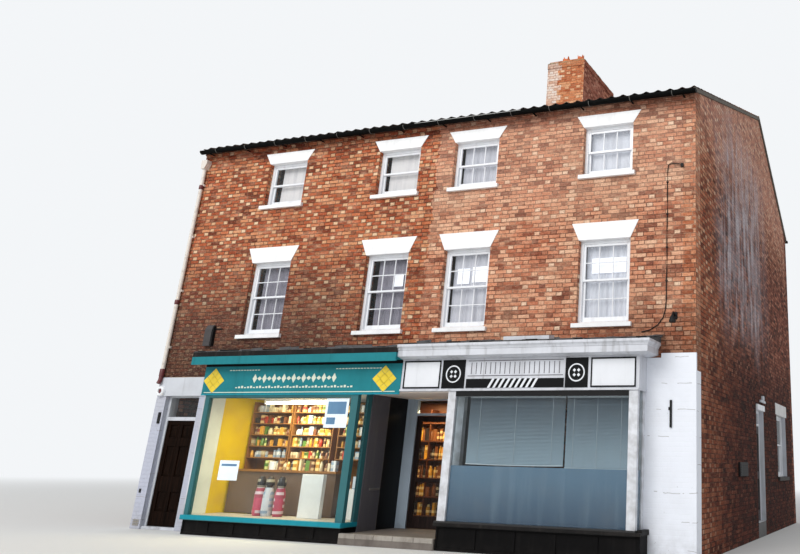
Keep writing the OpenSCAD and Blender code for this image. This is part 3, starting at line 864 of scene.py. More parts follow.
@dataclass(frozen=True)
class Board(Finish):
    """A smooth interior board or paper, slightly uneven in tone."""

    colour: str
    shade_to: str
    # Painted light: how much the board glows, though no lamp lights it.
    glow: float

    def shade(self, g: Graph) -> None:
        """Varies the tone in broad patches.

        Args:
            g: The graph of its material.
        """
        cloud = g.noise(2.0)
        colour = g.mix(cloud.rise(0.3, 0.8) * 0.6, self.colour, self.shade_to)
        rough = cloud * 0.2 + 0.4
        g.surface(colour, rough, g.noise(35.0), 0.001, Emission_Color=colour, Emission_Strength=self.glow)


@dataclass(frozen=True)
class PaleFloor(Finish):
    """A plain pale floor that fades into the background far from the building."""

    colour: Triple = (0.72, 0.72, 0.71)
    fade: Pair = (12.0, 42.0)

    def shade(self, g: Graph) -> None:
        """Mixes the lit floor with the background's tone by distance.

        Args:
            g: The graph of its material.
        """
        x, y, z = g.xyz
        far = (x * x + y * y).rise(self.fade[0] ** 2, self.fade[1] ** 2)
        lit = g.node("ShaderNodeBsdfPrincipled", {}, {
            "Base Color": g.mix(g.noise(3.5, 4.0) * 0.2, self.colour, (0.66, 0.66, 0.65)), "Roughness": 0.9,
        })
        plain = g.node("ShaderNodeEmission", {}, {"Color": BACKGROUND, "Strength": 1.0})
        seen = g.node("ShaderNodeLightPath", {}, {}, "Is Camera Ray")
        g.finish(g.node("ShaderNodeMixShader", {}, {0: far * seen, 1: lit, 2: plain}))


BACKGROUND = (0.9, 0.92, 0.94)
STREET_BRICK = Brickwork("street_brick", Wall.STREET)
GABLE_BRICK = Brickwork("gable_brick", Wall.GABLE, seed=2.0, bloom=0.3)
STACK_BRICK = Brickwork("stack_brick", Wall.STACK, seed=3.0)
PLAIN_BRICK = Brickwork("plain_brick", Wall.PLAIN, seed=5.0, bloom=0.5)
WHITE_GLOSS = Paint("white_gloss", "f0f3f8", "787470", 0.22, 0.5, 0.18, 0.1, 0.35, 0.3)
WHITE_DIRTY = Paint("white_dirty", "d4d7df", "605c5a", 0.45, 0.9, 0.4, 0.25, 0.42, 0.2)
# A greyer copy of the white paint for the left door frame and the gable linings: dirtier paint, and partly
# painted shade.
WHITE_SHADE = Paint("white_shade", "ccd0d8", "6e6a68", 0.35, 0.8, 0.3, 0.2, 0.45)
WHITE_ON_BLACK = Paint("white_on_black", "e2e5ec", "82807e", 0.25, 0.0, 0.18, 0.1, 0.4, below=0.456)
# Below 1.2 m the side dressings are dark: partly dark stone, partly painted shade.
SIDE_STONE = Stone("side_stone", "e2e2e2", "aaa8a6", 0.4, 0.75, 1.2)
SIDE_FRAME = Paint("side_frame", "eceef4", "787470", 0.3, 0.5, 0.2, 0.1, 0.4, below=0.299)
TRIM_DARK = Paint("trim_dark", "544e4c", "2c2826", 0.4, 0.1, 0.2, 0.1, 0.6)
WHITE_STONE = Stone("white_stone", "fafbfd", "ced0d2", 0.35, 0.7)
WHITE_PIER = PaintedMasonry("white_pier", "ecf0f9", 0.2, 0.25, 0.09)
WHITE_BRICK = PaintedMasonry("white_brick", "babece", 0.5, 0.8)
TEAL = Paint("teal", "1c7e88", "02464c", 0.4, 0.3, 0.3, 0.1, 0.5, 0.0, 0.2)
TEAL_DARK = Paint("teal_dark", "326a70", "184246", 0.4, 0.3, 0.3, 0.1, 0.5, 0.0, 0.3)
TURQUOISE = Paint("turquoise", "048ca0", "08606c", 0.4, 0.2, 0.3, 0.15, 0.5, 0.0, 0.3)
BLACK = Paint("black", "090809", "262322", 0.25, 0.2, 0.2, 0.15, 0.5, 0.0, 0.08)
BLACK_LEDGE = Paint("black_ledge", "0d0c0d", "544e4a", 0.3, 0.5, 0.25, 0.3, 0.6, 0.0, 0.15)
LOBBY_GREY = Paint("lobby_grey", "5a585f", "74706e", 0.3, 0.4, 0.3, 0.1, 0.4, 0.0, 0.3)
LOBBY_BLACK = Paint("lobby_black", "0b0b0d", "222020", 0.2, 0.3, 0.2, 0.05, 0.4, 0.0, 0.2)
SOFFIT = Paint("soffit", "f6e8de", "c4b4ac", 0.5, 0.1, 0.2, 0.1, 0.6)
POST_BLUE = Paint("post_blue", "b4c4d4", "6e747c", 0.3, 0.5, 0.3, 0.1, 0.3, 0.2)
SIGN_BLACK = Paint("sign_black", "08090c", "1a1a1c", 0.2, 0.1, 0.1, 0.0, 0.5, 0.0, 0.12)
SIGN_WHITE = Paint("sign_white", "e6e9ef", "aaacb2", 0.3, 0.1, 0.25, 0.05, 0.3, 0.3)
SIGN_CREAM = Paint("sign_cream", "dee4d2", "96a08c", 0.3, 0.1, 0.2, 0.05, 0.35, 0.2)
SIGN_YELLOW = Paint("sign_yellow", "ecce28", "aa8c1e", 0.25, 0.1, 0.2, 0.05, 0.35, 0.2)
BROWN_DOOR = Timber("brown_door", "21140e", "0c0806", 0.0, gloss=0.02)
DARK_DOOR = Timber("dark_door", "302220", "161010", 0.1, gloss=0.2)
CLAY = ClayTile("clay_tile")
MORTAR = Stone("mortar", "968e80", "5c5648", 0.5, 0.9)
VERGE = Stone("verge", "68625a", "3a342e", 0.5, 0.9)
FLAUNCHING = Stone("flaunching", "96987a", "465a30", 0.75, 0.9)
POT = Stone("pot", "e27a4a", "6e3e2c", 0.5, 0.75)
GUTTER = Metal("gutter", "070808", "242624", 0.25, 0.6, gloss=0.06)
GUTTER_LIP = Metal("gutter_lip", "b0b2b0", "606260", 0.4, 0.5)
PIPE = Metal("pipe", "ded6ce", "78645c", 0.45, 0.4)
PIPE_SHOE = Metal("pipe_shoe", "60282a", "2c1416", 0.4, 0.5)
LEAD = Metal("lead", "5c5c5e", "222122", 0.7, 0.7, gloss=0.2)
IRON = Metal("iron", "161618", "46423e", 0.3, 0.6, gloss=0.2)
VENT_GREY = Metal("vent_grey", "3a3637", "1e1c1d", 0.4, 0.6)
STRAP = Metal("strap", "6e6c68", "32302e", 0.5, 0.6)
STEEL = Metal("steel", "bec0c2", "6e6c68", 0.3, 0.3, 0.9)
STEP = Stone("step", "766e68", "423a34", 0.5, 0.75)
NOSING = Stone("nosing", "a6a098", "605650", 0.6, 0.75)
FLOOR_BOARD = Timber("floor_board", "96704e", "60442e", 0.1, True)
CONCRETE = Stone("concrete", "88827c", "54504c", 0.5, 0.85)
RENDER = Stone("render", "cec8be", "968e84", 0.3, 0.85)
PANE = Glass("pane", (0.98, 0.985, 0.99), 0.04, 1.3)
SHOP_PANE = Glass("shop_pane", (0.92, 0.95, 0.96), 0.04, 1.2)
FILM = Film("film", "5e788e", "374e66", alpha=1.1)
# Painted light: the nets and blinds glow a little, and the pale nets' brightness partly stands in for sky
# reflected in the panes.
NET = Cloth("net_pale", "dadbe3", 0.93, 0.08)
NET_BRIGHT = Cloth("net_bright", "e2e5ed", 1.0, 0.1)
BLIND = Cloth("roller_blind", "e8e5e4", 1.0, 0.06)
BLIND_REAR = Cloth("rear_blind", "5c6068", 1.0)
NET_DIM = Cloth("net_dim", "b0acba", 0.66)
# Painted shade: the slats are paler at the blind's foot and darker towards its head.
SLAT = Film("slat", "666f78", "b2c2cd", (1.25, 2.5), 1.2, 0.0)
RAIL = Metal("blind_rail", "c4c8cc", "787c80", 0.3, 0.4)
TUBE = Glow("tube")
# Painted light: each board's last number is a glow, though no lamp lights it.
YELLOW_WALL = Board("yellow_wall", "e0be00", "c89c00", 0.12)
PALE_WALL = Board("pale_wall", "dee2da", "bec4be", 0.1)
SHELF_WOOD = Board("shelf_wood", "96642c", "68421c", 0.03)
SHELF_DARK = Board("shelf_dark", "603216", "3c1e0e", 0.02)
COUNTER_WOOD = Board("counter_wood", "6e5848", "58463a", 0.03)
BED = Board("display_bed", "c4baaa", "a09688", 0.04)
CABINET = Board("cabinet", "eceae6", "cecac4", 0.1)
PAPER = Board("paper", "f8f9fc", "e8ecf2", 0.4)
POSTER_BLUE = Board("poster_blue", "608cb0", "3c608c", 0.06)
# Painted light: each packet's last number is a glow.
PACKETS = tuple(Packet("packet_" + name, colour, band, glow) for name, colour, band, glow in (
    ("gold", "dca03c", "f6e2a0", 0.1), ("brown", "804e2c", "dcbe8c", 0.06),
    ("cream", "e4d6b2", "966e46", 0.1), ("red", "b83a22", "f0d296", 0.06),
    ("green", "608634", "e2e096", 0.06), ("white", "e2e6ec", "7896b4", 0.08),
    ("dark", "2e2a2c", "b4aa96", 0.03), ("pink", "ce546e", "ecdce2", 0.05),
))


@lru_cache(maxsize=None)
def street_corner() -> Vector:
    """Gives the frame's place for the foot of the party wall at the street face, where measures start."""
    return Vector((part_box("party_wall")[0].x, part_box("front_wall")[0].y, 0.0))


def circle(count: int) -> List[Pair]:
    """Gives points round a circle of radius 1."""
    return [(math.cos(t * math.tau / count), math.sin(t * math.tau / count)) for t in range(count)]


class Shape:
    """Collects the faces of one piece, in the building's own measures."""

    def __init__(self, matrix: Optional[Matrix] = None) -> None:
        """Starts with no faces.

        Args:
            matrix: Turns the points into the building's measures, if they aren't in those.
        """
        self.points: List[Vector] = []
        self.faces: List[Tuple[int, ...]] = []
        self.slots: List[int] = []
        self.smooth: List[bool] = []
        self.slot = 0
        self.matrix = Matrix.Identity(4) if matrix is None else matrix

    def use(self, slot: int) -> "Shape":
        """Gives another finish to the faces that follow."""
        self.slot = slot
        return self

    def add(
        self, points: Ring, faces: Sequence[Sequence[int]], smooth: bool = False
    ) -> "Shape":
        """Adds points and the faces between them.

        Args:
            points: Corner points.
            faces: Indices into those points.
            smooth: Whether the faces are smooth.

        Returns:
            The shape itself.
        """
        start = len(self.points)
        self.points += [self.matrix @ Vector(p) for p in points]
        for one in faces:
            self.faces.append(tuple(start + i for i in one))
            self.slots.append(self.slot)
            self.smooth.append(smooth)
        return self

    def box(self, x: Pair, y: Pair, z: Pair) -> "Shape":
        """Adds a block.

        Args:
            x: Its left and right.
            y: Its front and back.
            z: Its foot and head.

        Returns:
            The shape itself.
        """
        points = [(a, b, c) for a in x for b in y for c in z]
        sides = [(0, 1, 3, 2), (4, 6, 7, 5), (0, 4, 5, 1), (2, 3, 7, 6), (0, 2, 6, 4), (1, 5, 7, 3)]
        return self.add(points, sides)

    def boxes(self, *edges: Block) -> "Shape":
        """Adds several blocks.

        Args:
            *edges: The low and high X, Y and Z of each, in a row.

        Returns:
            The shape itself.
        """
        for x0, x1, y0, y1, z0, z1 in edges:
            self.box((x0, x1), (y0, y1), (z0, z1))
        return self

    def border(self, x: Pair, y: Pair, z: Pair, side: float, foot: float, head: float) -> None:
        """Adds the members of a rectangular frame.

        Args:
            x: Left and right edge.
            y: Front and back.
            z: Foot and head.
            side: Width of the stiles.
            foot: Height of the bottom rail, or 0 for none.
            head: Height of the top rail.
        """
        clear = (x[0] + side, x[1] - side)
        self.box((x[0], clear[0]), y, z).box((clear[1], x[1]), y, z)
        if foot:
            self.box(clear, y, (z[0], z[0] + foot))
        self.box(clear, y, (z[1] - head, z[1]))

    def sweep(self, sections: Sequence[Ring], smooth: bool = False) -> None:
        """Joins closed cross-sections that follow each other, with caps at both ends.

        Args:
            sections: Loops of points, all of one length.
            smooth: Whether the sides are smooth.
        """
        count = len(sections[0])
        faces = []
        for s in range(len(sections) - 1):
            for i in range(count):
                a, b = s * count + i, s * count + (i + 1) % count
                faces.append((a, b, b + count, a + count))
        self.add([p for section in sections for p in section], faces, smooth)
        self.add(sections[0], [tuple(reversed(range(count)))])
        self.add(sections[-1], [tuple(range(count))])

    def along_x(self, x: Pair, outline: Pairs) -> None:
        """Adds an outline in Y and Z, run along X."""
        self.sweep([[(a, *p) for p in outline] for a in x])

    def along_y(self, y: Pair, outline: Pairs) -> None:
        """Adds an outline in X and Z, run along Y."""
        self.sweep([[(p[0], a, p[1]) for p in outline] for a in y])

    def lozenge(self, place: Pair, half: Pair, y: Pair) -> None:
        """Adds an upright diamond, by the X and Z of its middle, its half sizes, and its front and back."""
        (x, z), (wide, tall) = place, half
        self.along_y(y, [(x - wide, z), (x, z - tall), (x + wide, z), (x, z + tall)])

    def rod(self, path: Sequence[Triple], radius: float, sides: int = 12) -> None:
        """Adds a round rod along a path.

        Args:
            path: The points of its centre line.
            radius: Its radius.
            sides: Faces round it.
        """
        sections = []
        line = [Vector(p) for p in path]
        for i, here in enumerate(line):
            ahead = (line[min(i + 1, len(line) - 1)] - line[max(i - 1, 0)]).normalized()
            aside = ahead.cross(Vector((0, 0, 1)))
            aside = Vector((1, 0, 0)) if aside.length < 1e-3 else aside.normalized()
            upward = aside.cross(ahead)
            sections.append([here + aside * radius * c + upward * radius * s for c, s in circle(sides)])
        self.sweep(sections, True)

    def lathe(self, centre: Triple, outline: Pairs, sides: int = 24) -> None:
        """Adds a turned form about an upright axis.

        Args:
            centre: Foot of the axis.
            outline: Radius and height of each ring.
            sides: Faces round it.
        """
        x, y, z = centre
        rings = [[(x + reach * c, y + reach * s, z + up) for c, s in circle(sides)] for reach, up in outline]
        self.sweep(rings, True)

    def fielded(self, x: Pair, z: Pair, face: float, depth: float, rim: float) -> None:
        """Adds a raised panel whose edges slope back to the frame round it.

        Args:
            x: Left and right edge.
            z: Foot and head.
            face: Depth of the panel's flat middle.
            depth: How far the edges fall back.
            rim: Width of the slope.
        """

        def ring(inset: float, y: float) -> Ring:
            """Gives the panel's outline, drawn in by some width."""
            a, b, c, d = x[0] + inset, x[1] - inset, z[0] + inset, z[1] - inset
            return [(a, y, c), (b, y, c), (b, y, d), (a, y, d)]

        self.sweep([ring(rim, face), ring(0.0, face + depth), ring(0.0, face + depth + 0.004)])

    def build(
        self, name: str, finishes: Sequence[Finish], slot: str, body: str = BODY, bevel: float = 0.0,
        replaces: Sequence[str] = (),
    ) -> bpy.types.Object:
        """Makes the piece and puts it on its body.

        Args:
            name: The piece's name.
            finishes: One finish for each number given to use.
            slot: The record's material slot; not used.
            body: The body it rides on.
            bevel: Width of softened edges, or 0.
            replaces: CAD nodes that it stands for.

        Returns:
            The piece.
        """
        mesh = bpy.data.meshes.new(name)
        mesh.from_pydata([tuple(p + street_corner()) for p in self.points], [], self.faces)
        mesh.polygons.foreach_set("material_index", self.slots)
        mesh.polygons.foreach_set("use_smooth", self.smooth)
        mesh.validate()
        mesh.update()
        piece = bpy.data.objects.new(name, mesh)
        bpy.context.scene.collection.objects.link(piece)
        for finish in finishes:
            mesh.materials.append(finish.material())
        make_outward(mesh)
        if bevel > 0:
            soften = piece.modifiers.new("soft_edges", "BEVEL")
            soften.width = bevel
            soften.segments = 1
            soften.limit_method = "ANGLE"
            soften.angle_limit = math.radians(40)
        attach(piece, body)
        if replaces:
            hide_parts(*replaces)
        LOG.info("%s: %d faces", name, len(mesh.polygons))
        return piece


def make_outward(mesh: bpy.types.Mesh) -> None:
    """Turns every closed shell's faces outward.

    Args:
        mesh: The piece's mesh.
    """
    work = bmesh.new()
    work.from_mesh(mesh)
    bmesh.ops.recalc_face_normals(work, faces=work.faces)
    work.to_mesh(mesh)
    work.free()


def dress(node: str, finish: Finish) -> None:
    """Gives a CAD node its finish.

    Args:
        node: The node's name.
        finish: What it is made of.
    """
    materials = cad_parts[node].data.materials
    materials.clear()
    materials.append(finish.material())
    LOG.info("%s: dressed in %s", node, finish.name)


@dataclass
class Shell:
    """Walls, floors, stack and dressings, which keep their CAD solids."""

    finishes: Dict[str, Finish] = field(default_factory=lambda: {
        "ground_floor": CONCRETE, "upper_floors": FLOOR_BOARD, "front_wall": STREET_BRICK,
        "left_piers": WHITE_BRICK, "right_pier": WHITE_PIER, "shop_beam": RENDER, "side_wall": GABLE_BRICK,
        "gable_wall": GABLE_BRICK, "back_wall": PLAIN_BRICK, "party_wall": PLAIN_BRICK,
        "eaves_course": STREET_BRICK, "chimney_stack": STACK_BRICK, "window_lintels": WHITE_STONE,
        "window_sills": WHITE_STONE, "rear_dressings": SIDE_STONE, "gutters": GUTTER,
        "front_downpipe": PIPE, "side_door_frame": SIDE_FRAME, "left_door_frame": WHITE_SHADE,
        "door_lights": PANE, "left_fascia": TEAL, "right_fascia": WHITE_DIRTY, "left_shop_frame": TEAL_DARK,
        "right_shop_frame": WHITE_ON_BLACK, "shop_glass": SHOP_PANE, "lobby_lining": LOBBY_GREY,
        "shop_door_frame": POST_BLUE, "entrance_step": STEP,
    })

    def dress(self) -> None:
        """Gives each CAD node that stays its finish."""
        for node, finish in self.finishes.items():
            dress(node, finish)


@dataclass
class Roof:
    """Pantiles on both slopes, half-round ridge tiles and a mortared verge."""

    length: float = 11.54
    ridge_y: float = 6.58
    ridge_z: float = 10.2772
    front_y: float = -0.15
    rear_y: float = 10.72
    thick: float = 0.12
    front_pitch: float = 0.34
    rear_pitch: float = 0.55
    columns: int = 50
    exposure: float = 0.27
    tile_length: float = 0.335
    wave: Pairs = (
        (0.0, 0.02), (0.12, 0.006), (0.3, 0.0), (0.5, 0.003), (0.68, 0.015), (0.8, 0.031), (0.92, 0.034),
        (1.08, 0.018),
    )
    clay: float = 0.012
    lap: float = 0.014
    sink: float = 0.064
    verge: float = 0.04
    ridge_length: float = 0.455
    ridge_reach: float = 0.118
    mortar_reach: float = 0.112

    def high(self, y: float) -> float:
        """Gives the height of the roof's top.

        Args:
            y: Distance from the street face.

        Returns:
            The height.
        """
        if y < self.ridge_y:
            return self.ridge_z - self.front_pitch * (self.ridge_y - y)
        return self.ridge_z - self.rear_pitch * (y - self.ridge_y)

    def slope(self, name: str, eave_y: float, pitch: float, toward: float, seed: int) -> None:
        """Tiles one slope.

        Args:
            name: The node's name, which the piece takes with _tiles added.
            eave_y: Where the slope ends.
            pitch: Rise over run.
            toward: 1 if the slope climbs along +Y, or -1.
            seed: Picks how each tile lies.
        """
        dice = random.Random(seed)
        shape = Shape()
        slant = math.hypot(1.0, pitch)
        total = abs(self.ridge_y - eave_y) * slant
        width = self.length / self.columns
        eave_z = self.high(eave_y)

        def place(x: float, along: float, above: float) -> Triple:
            """Puts a point by its distance up the slope and height above the bed."""
            up = eave_z + pitch * along / slant + (above - self.sink) * slant
            return (min(x, self.length - 0.002), eave_y + toward * along / slant, up)

        for row in range(math.ceil(total / self.exposure)):
            tail = row * self.exposure
            head = min(tail + self.tile_length, total - 0.004)
            if head - tail < 0.05:
                continue
            for column in range(self.columns):
                start = column * width
                tilt = dice.uniform(-0.002, 0.002)
                slip = dice.uniform(0.0, 0.006)
                rings = []
                for along, raised in ((tail + slip, self.lap + tilt), (head, tilt)):
                    top = [place(start + a * width, along, h + raised + self.clay) for a, h in self.wave]
                    low = [place(start + a * width, along, h + raised) for a, h in reversed(self.wave)]
                    rings.append(top + low)
                shape.sweep(rings)
        ends = sorted((eave_y, self.ridge_y))
        tile_bed = self.sink * slant + 0.001
        for slot, span, drop in (
            (1, (0.0, self.length - self.verge), tile_bed),
            (2, (self.length - self.verge, self.length - 0.004), 0.035),
        ):
            low = [(y, self.high(y) - self.thick) for y in ends]
            top = [(y, self.high(y) - drop) for y in reversed(ends)]
            shape.use(slot).along_x(span, low + top)
        shape.build(name + "_tiles", (CLAY, MORTAR, VERGE), "roof_tile", replaces=(name,))

    def ridge(self) -> None:
        """Lays the ridge tiles in mortar, leaving out the stack."""
        shape = Shape()
        dice = random.Random(13)
        gap = StackTop.x
        for i in range(int(self.length / self.ridge_length)):
            low, high = i * self.ridge_length, (i + 1) * self.ridge_length - 0.006
            if low < gap[1] and high > gap[0]:
                continue
            drop = dice.uniform(0.0, 0.006)
            rings = []
            for x, grow in ((low, 0.0), (low + 0.03, 0.0), (high, -0.004)):
                ring = []
                for t in range(9):
                    turn = math.pi * t / 8
                    y = self.ridge_y - (self.ridge_reach + grow) * math.cos(turn)
                    rise = (0.045 + 0.055 * math.sin(turn) + grow) * math.sin(turn) ** 0.5
                    ring.append((x, y, self.high(y) - 0.01 + rise - drop * math.sin(turn)))
                ring += [(x, y, z - 0.012) for x, y, z in reversed(ring)]
                rings.append(ring)
            shape.sweep(rings)
        front, back = self.ridge_y - self.mortar_reach, self.ridge_y + self.mortar_reach
        for span in ((0.0, gap[0]), (gap[1], self.length - 0.01)):
            shape.use(1).along_x(span, [
                (front, self.high(front) - 0.05), (self.ridge_y, self.ridge_z + 0.012),
                (back, self.high(back) - 0.05), (self.ridge_y, self.ridge_z - 0.08),
            ])
        shape.build("ridge_tile_row", (CLAY, MORTAR), "roof_tile", replaces=("ridge_tiles",))

    def build(self) -> None:
        """Builds both slopes and the ridge."""
        self.slope("roof_front", self.front_y, self.front_pitch, 1.0, 11)
        self.slope("roof_back", self.rear_y, self.rear_pitch, -1.0, 12)
        self.ridge()


@dataclass
class StackTop:
    """Broken pots, flaunching and flashing of the chimney stack."""

    x: Pair = (5.77, 6.88)
    y: Pair = (5.43, 7.73)
    top: float = 12.09
    pots: Tuple[Triple, ...] = ((6.236, 5.62, 12.12), (6.68, 5.62, 12.12))
    across: int = 14
    deep: int = 22
    spill: float = 0.008
    steps: int = 12

    def build(self) -> None:
        """Builds the pot stubs, the mortar bed and the flashing."""
        dice = random.Random(21)
        self.stubs(dice)
        self.flaunching(dice)
        self.flashing()

    def stubs(self, dice: random.Random) -> None:
        """Builds the broken pots.

        Args:
            dice: Picks how high each pot is broken off.
        """
        shape = Shape()
        for number, (x, y, z) in enumerate(self.pots):
            radius = 0.108 - 0.012 * number
            heights = [0.13 + 0.11 * dice.random() ** 2 + 0.01 * number for _ in range(20)]
            columns = []
            for height, (c, s) in zip(heights, circle(20)):
                tip = z + height
                outside = ((radius, z), (radius * 0.96, tip))
                inside = ((radius - 0.02, tip - 0.004), (radius - 0.022, z + 0.03))
                columns.append([(x + reach * c, y + reach * s, level) for reach, level in outside + inside])
            shape.sweep(list(zip(*columns)))
        shape.build("broken_pots", (POT,), "pot_clay", replaces=("chimney_pots",))

    def flaunching(self, dice: random.Random) -> None:
        """Builds the lumpy mortar on top of the stack.

        Args:
            dice: Picks the lumps.
        """
        points = []
        for i in range(self.across + 1):
            for j in range(self.deep + 1):
                edge = min(i, self.across - i, j, self.deep - j)
                chance = dice.random()
                lump = min(edge + 1, 3) / 3 * (0.05 + 0.045 * chance) if edge else 0.022 * chance
                x, y = (
                    ends[0] - self.spill + (ends[1] - ends[0] + 2 * self.spill) * share
                    for ends, share in ((self.x, i / self.across), (self.y, j / self.deep))
                )
                points.append((x, y, self.top + 0.002 + lump))
        row = self.deep + 1
        starts = [i * row + j for i in range(self.across) for j in range(self.deep)]
        faces = [(a, a + row, a + row + 1, a + 1) for a in starts]
        last = self.across * row
        rim = [*range(0, last, row), *range(last, last + row)]
        rim += [*range(last - 1, 0, -row), *range(self.deep - 1, 0, -1)]
        under = {i: len(points) + n for n, i in enumerate(sorted(rim))}
        faces += [(a, b, under[b], under[a]) for a, b in zip(rim, rim[1:] + rim[:1])]
        faces.append(tuple(under[i] for i in reversed(rim)))
        points += [(points[i][0], points[i][1], self.top + 0.001) for i in under]
        Shape().add(points, faces, True).build("stack_flaunching", (FLAUNCHING,), "stack_brick")

    def flashing(self) -> None:
        """Builds the lead round the foot of the stack, stepped at its sides."""
        roof = Roof()
        shape = Shape()
        front = roof.high(self.y[0])
        span = (self.x[0] - 0.02, self.x[1] + 0.02)
        shape.box(span, (self.y[0] - 0.008, self.y[0]), (front - 0.005, front + 0.16))
        for side in (self.x[0] - 0.008, self.x[1]):
            for i in range(self.steps):
                a, b = (self.y[0] + (self.y[1] - self.y[0]) * j / self.steps for j in (i, i + 1))
                levels = sorted((roof.high(a), roof.high(b)))
                shape.box((side, side + 0.008), (a, b), (levels[0] - 0.02, levels[1] + 0.1))
        shape.build("stack_flashing", (LEAD,), "roof_tile")


class Curtain(Enum):
    """What hangs behind a window: its waves, columns and rows of faces, distance back and how it is held."""

    BLIND = (0.002, 12, 10, 0.14, "hung")
    NET = (0.02, 72, 14, 0.15, "gathered")


@dataclass
class Sash:
    """A pair of sliding sashes in a box frame, drawn about its own middle with its face at y = 0."""

    width: float = 0.99
    low: float = 3.735
    high: float = 5.235
    columns: int = 3
    rows: Tuple[int, int] = (2, 2)
    reveal: float = 0.1
    lining: float = 0.058
    head: float = 0.055
    stile: float = 0.042
    bar: float = 0.018
    meeting: float = 0.52

    @property
    def middle(self) -> float:
        """Gives the height at which the sashes meet."""
        return self.low + (self.high - self.low) * self.meeting

    def frame(self, shape: Shape) -> None:
        """Adds the box frame, both sashes and their glazing bars.

        Args:
            shape: Where the faces go.
        """
        half = self.width / 2
        clear = half - self.lining
        front, back = self.reveal, self.reveal + 0.11
        shape.border((-half, half), (front, back), (self.low, self.high), self.lining, 0.0, self.head)
        shape.along_x((-clear, clear), [
            (front - 0.02, self.low + 0.002), (back, self.low + 0.002), (back, self.low + 0.05),
            (front - 0.02, self.low + 0.034),
        ])
        upper = (self.middle - 0.02, self.high - self.head)
        lower = (self.low + 0.045, self.middle + 0.02)
        self.leaf(shape, front + 0.016, upper, self.rows[1], 0.045, 0.038)
        self.leaf(shape, front + 0.054, lower, self.rows[0], 0.038, 0.075)

    def leaf(self, shape: Shape, y: float, z: Pair, rows: int, top: float, foot: float) -> None:
        """Adds one sash.

        Args:
            shape: Where the faces go.
            y: Its outer face.
            z: Its foot and head.
            rows: Rows of panes.
            top: Height of its top rail.
            foot: Height of its bottom rail.
        """
        half = self.width / 2 - self.lining
        shape.border((-half, half), (y, y + 0.034), z, self.stile, foot, top)
        clear = half - self.stile
        pane = 2 * clear / self.columns
        edge = self.bar / 2
        inner = (y + 0.004, y + 0.028)
        low, high = z[0] + foot, z[1] - top
        for i in range(1, self.columns):
            x = i * pane - clear
            shape.box((x - edge, x + edge), inner, (low, high))
        for i in range(1, rows):
            level = low + (high - low) * i / rows
            for j in range(self.columns):
                a = j * pane - clear + (edge if j else 0.0)
                b = (j + 1) * pane - clear - (edge if j < self.columns - 1 else 0.0)
                shape.box((a, b), inner, (level - edge, level + edge))

    def panes(self, shape: Shape) -> None:
        """Adds the glass of both sashes, one sheet behind the bars of each.

        Args:
            shape: Where the faces go.
        """
        half = self.width / 2 - self.lining - self.stile + 0.004
        upper = (self.middle + 0.014, self.high - 0.097)
        lower = (self.low + 0.116, self.middle - 0.014)
        for back, z in ((0.045, upper), (0.083, lower)):
            shape.box((-half, half), (self.reveal + back, self.reveal + back + 0.003), z)

    def hanging(
        self, name: str, kind: Curtain, cloth: Cloth, matrix: Matrix, seed: int, shift: float,
    ) -> None:
        """Hangs a blind or a net behind the sashes.

        Args:
            name: The piece's name.
            kind: What hangs there.
            cloth: What it is made of.
            matrix: Turns the window's measures into the building's.
            seed: Picks the folds.
            shift: How far the cloth is drawn aside.
        """
        dice = random.Random(seed)
        waves, columns, rows, back, held = kind.value
        half = self.width / 2 - 0.07
        low, high = self.low + 0.06, self.high - 0.04
        phase = [dice.uniform(0, math.tau) for _ in range(3)]
        points = []
        for j in range(rows + 1):
            t = j / rows
            for i in range(columns + 1):
                s = i / columns
                fold = math.sin(s * 58 + phase[0]) * 0.6 + math.sin(s * 31 + phase[1] + t * 0.8) * 0.4
                sway = math.sin(s * 5 + phase[2] + t) * 0.3
                depth = self.reveal + back + waves * (fold + sway) * (0.35 + 0.65 * t)
                points.append((shift - half + (2 * half - shift) * s, depth, high - (high - low) * t))
        row = columns + 1
        starts = [j * row + i for j in range(rows) for i in range(columns)]
        faces = [(a, a + 1, a + row + 1, a + row) for a in starts]
        piece = Shape(matrix).add(points, faces, True).build(name, (cloth,), "window_paint")
        area = sum(polygon.area for polygon in piece.data.polygons)
        tall = high - low
        round(area / tall, 3)


@dataclass(frozen=True)
class Bay:
    """The two windows above each other at one place of the street face."""

    x: float
    bars: int
    kind: Curtain
    upper: Cloth
    upper_shift: float
    first: Cloth
    first_shift: float


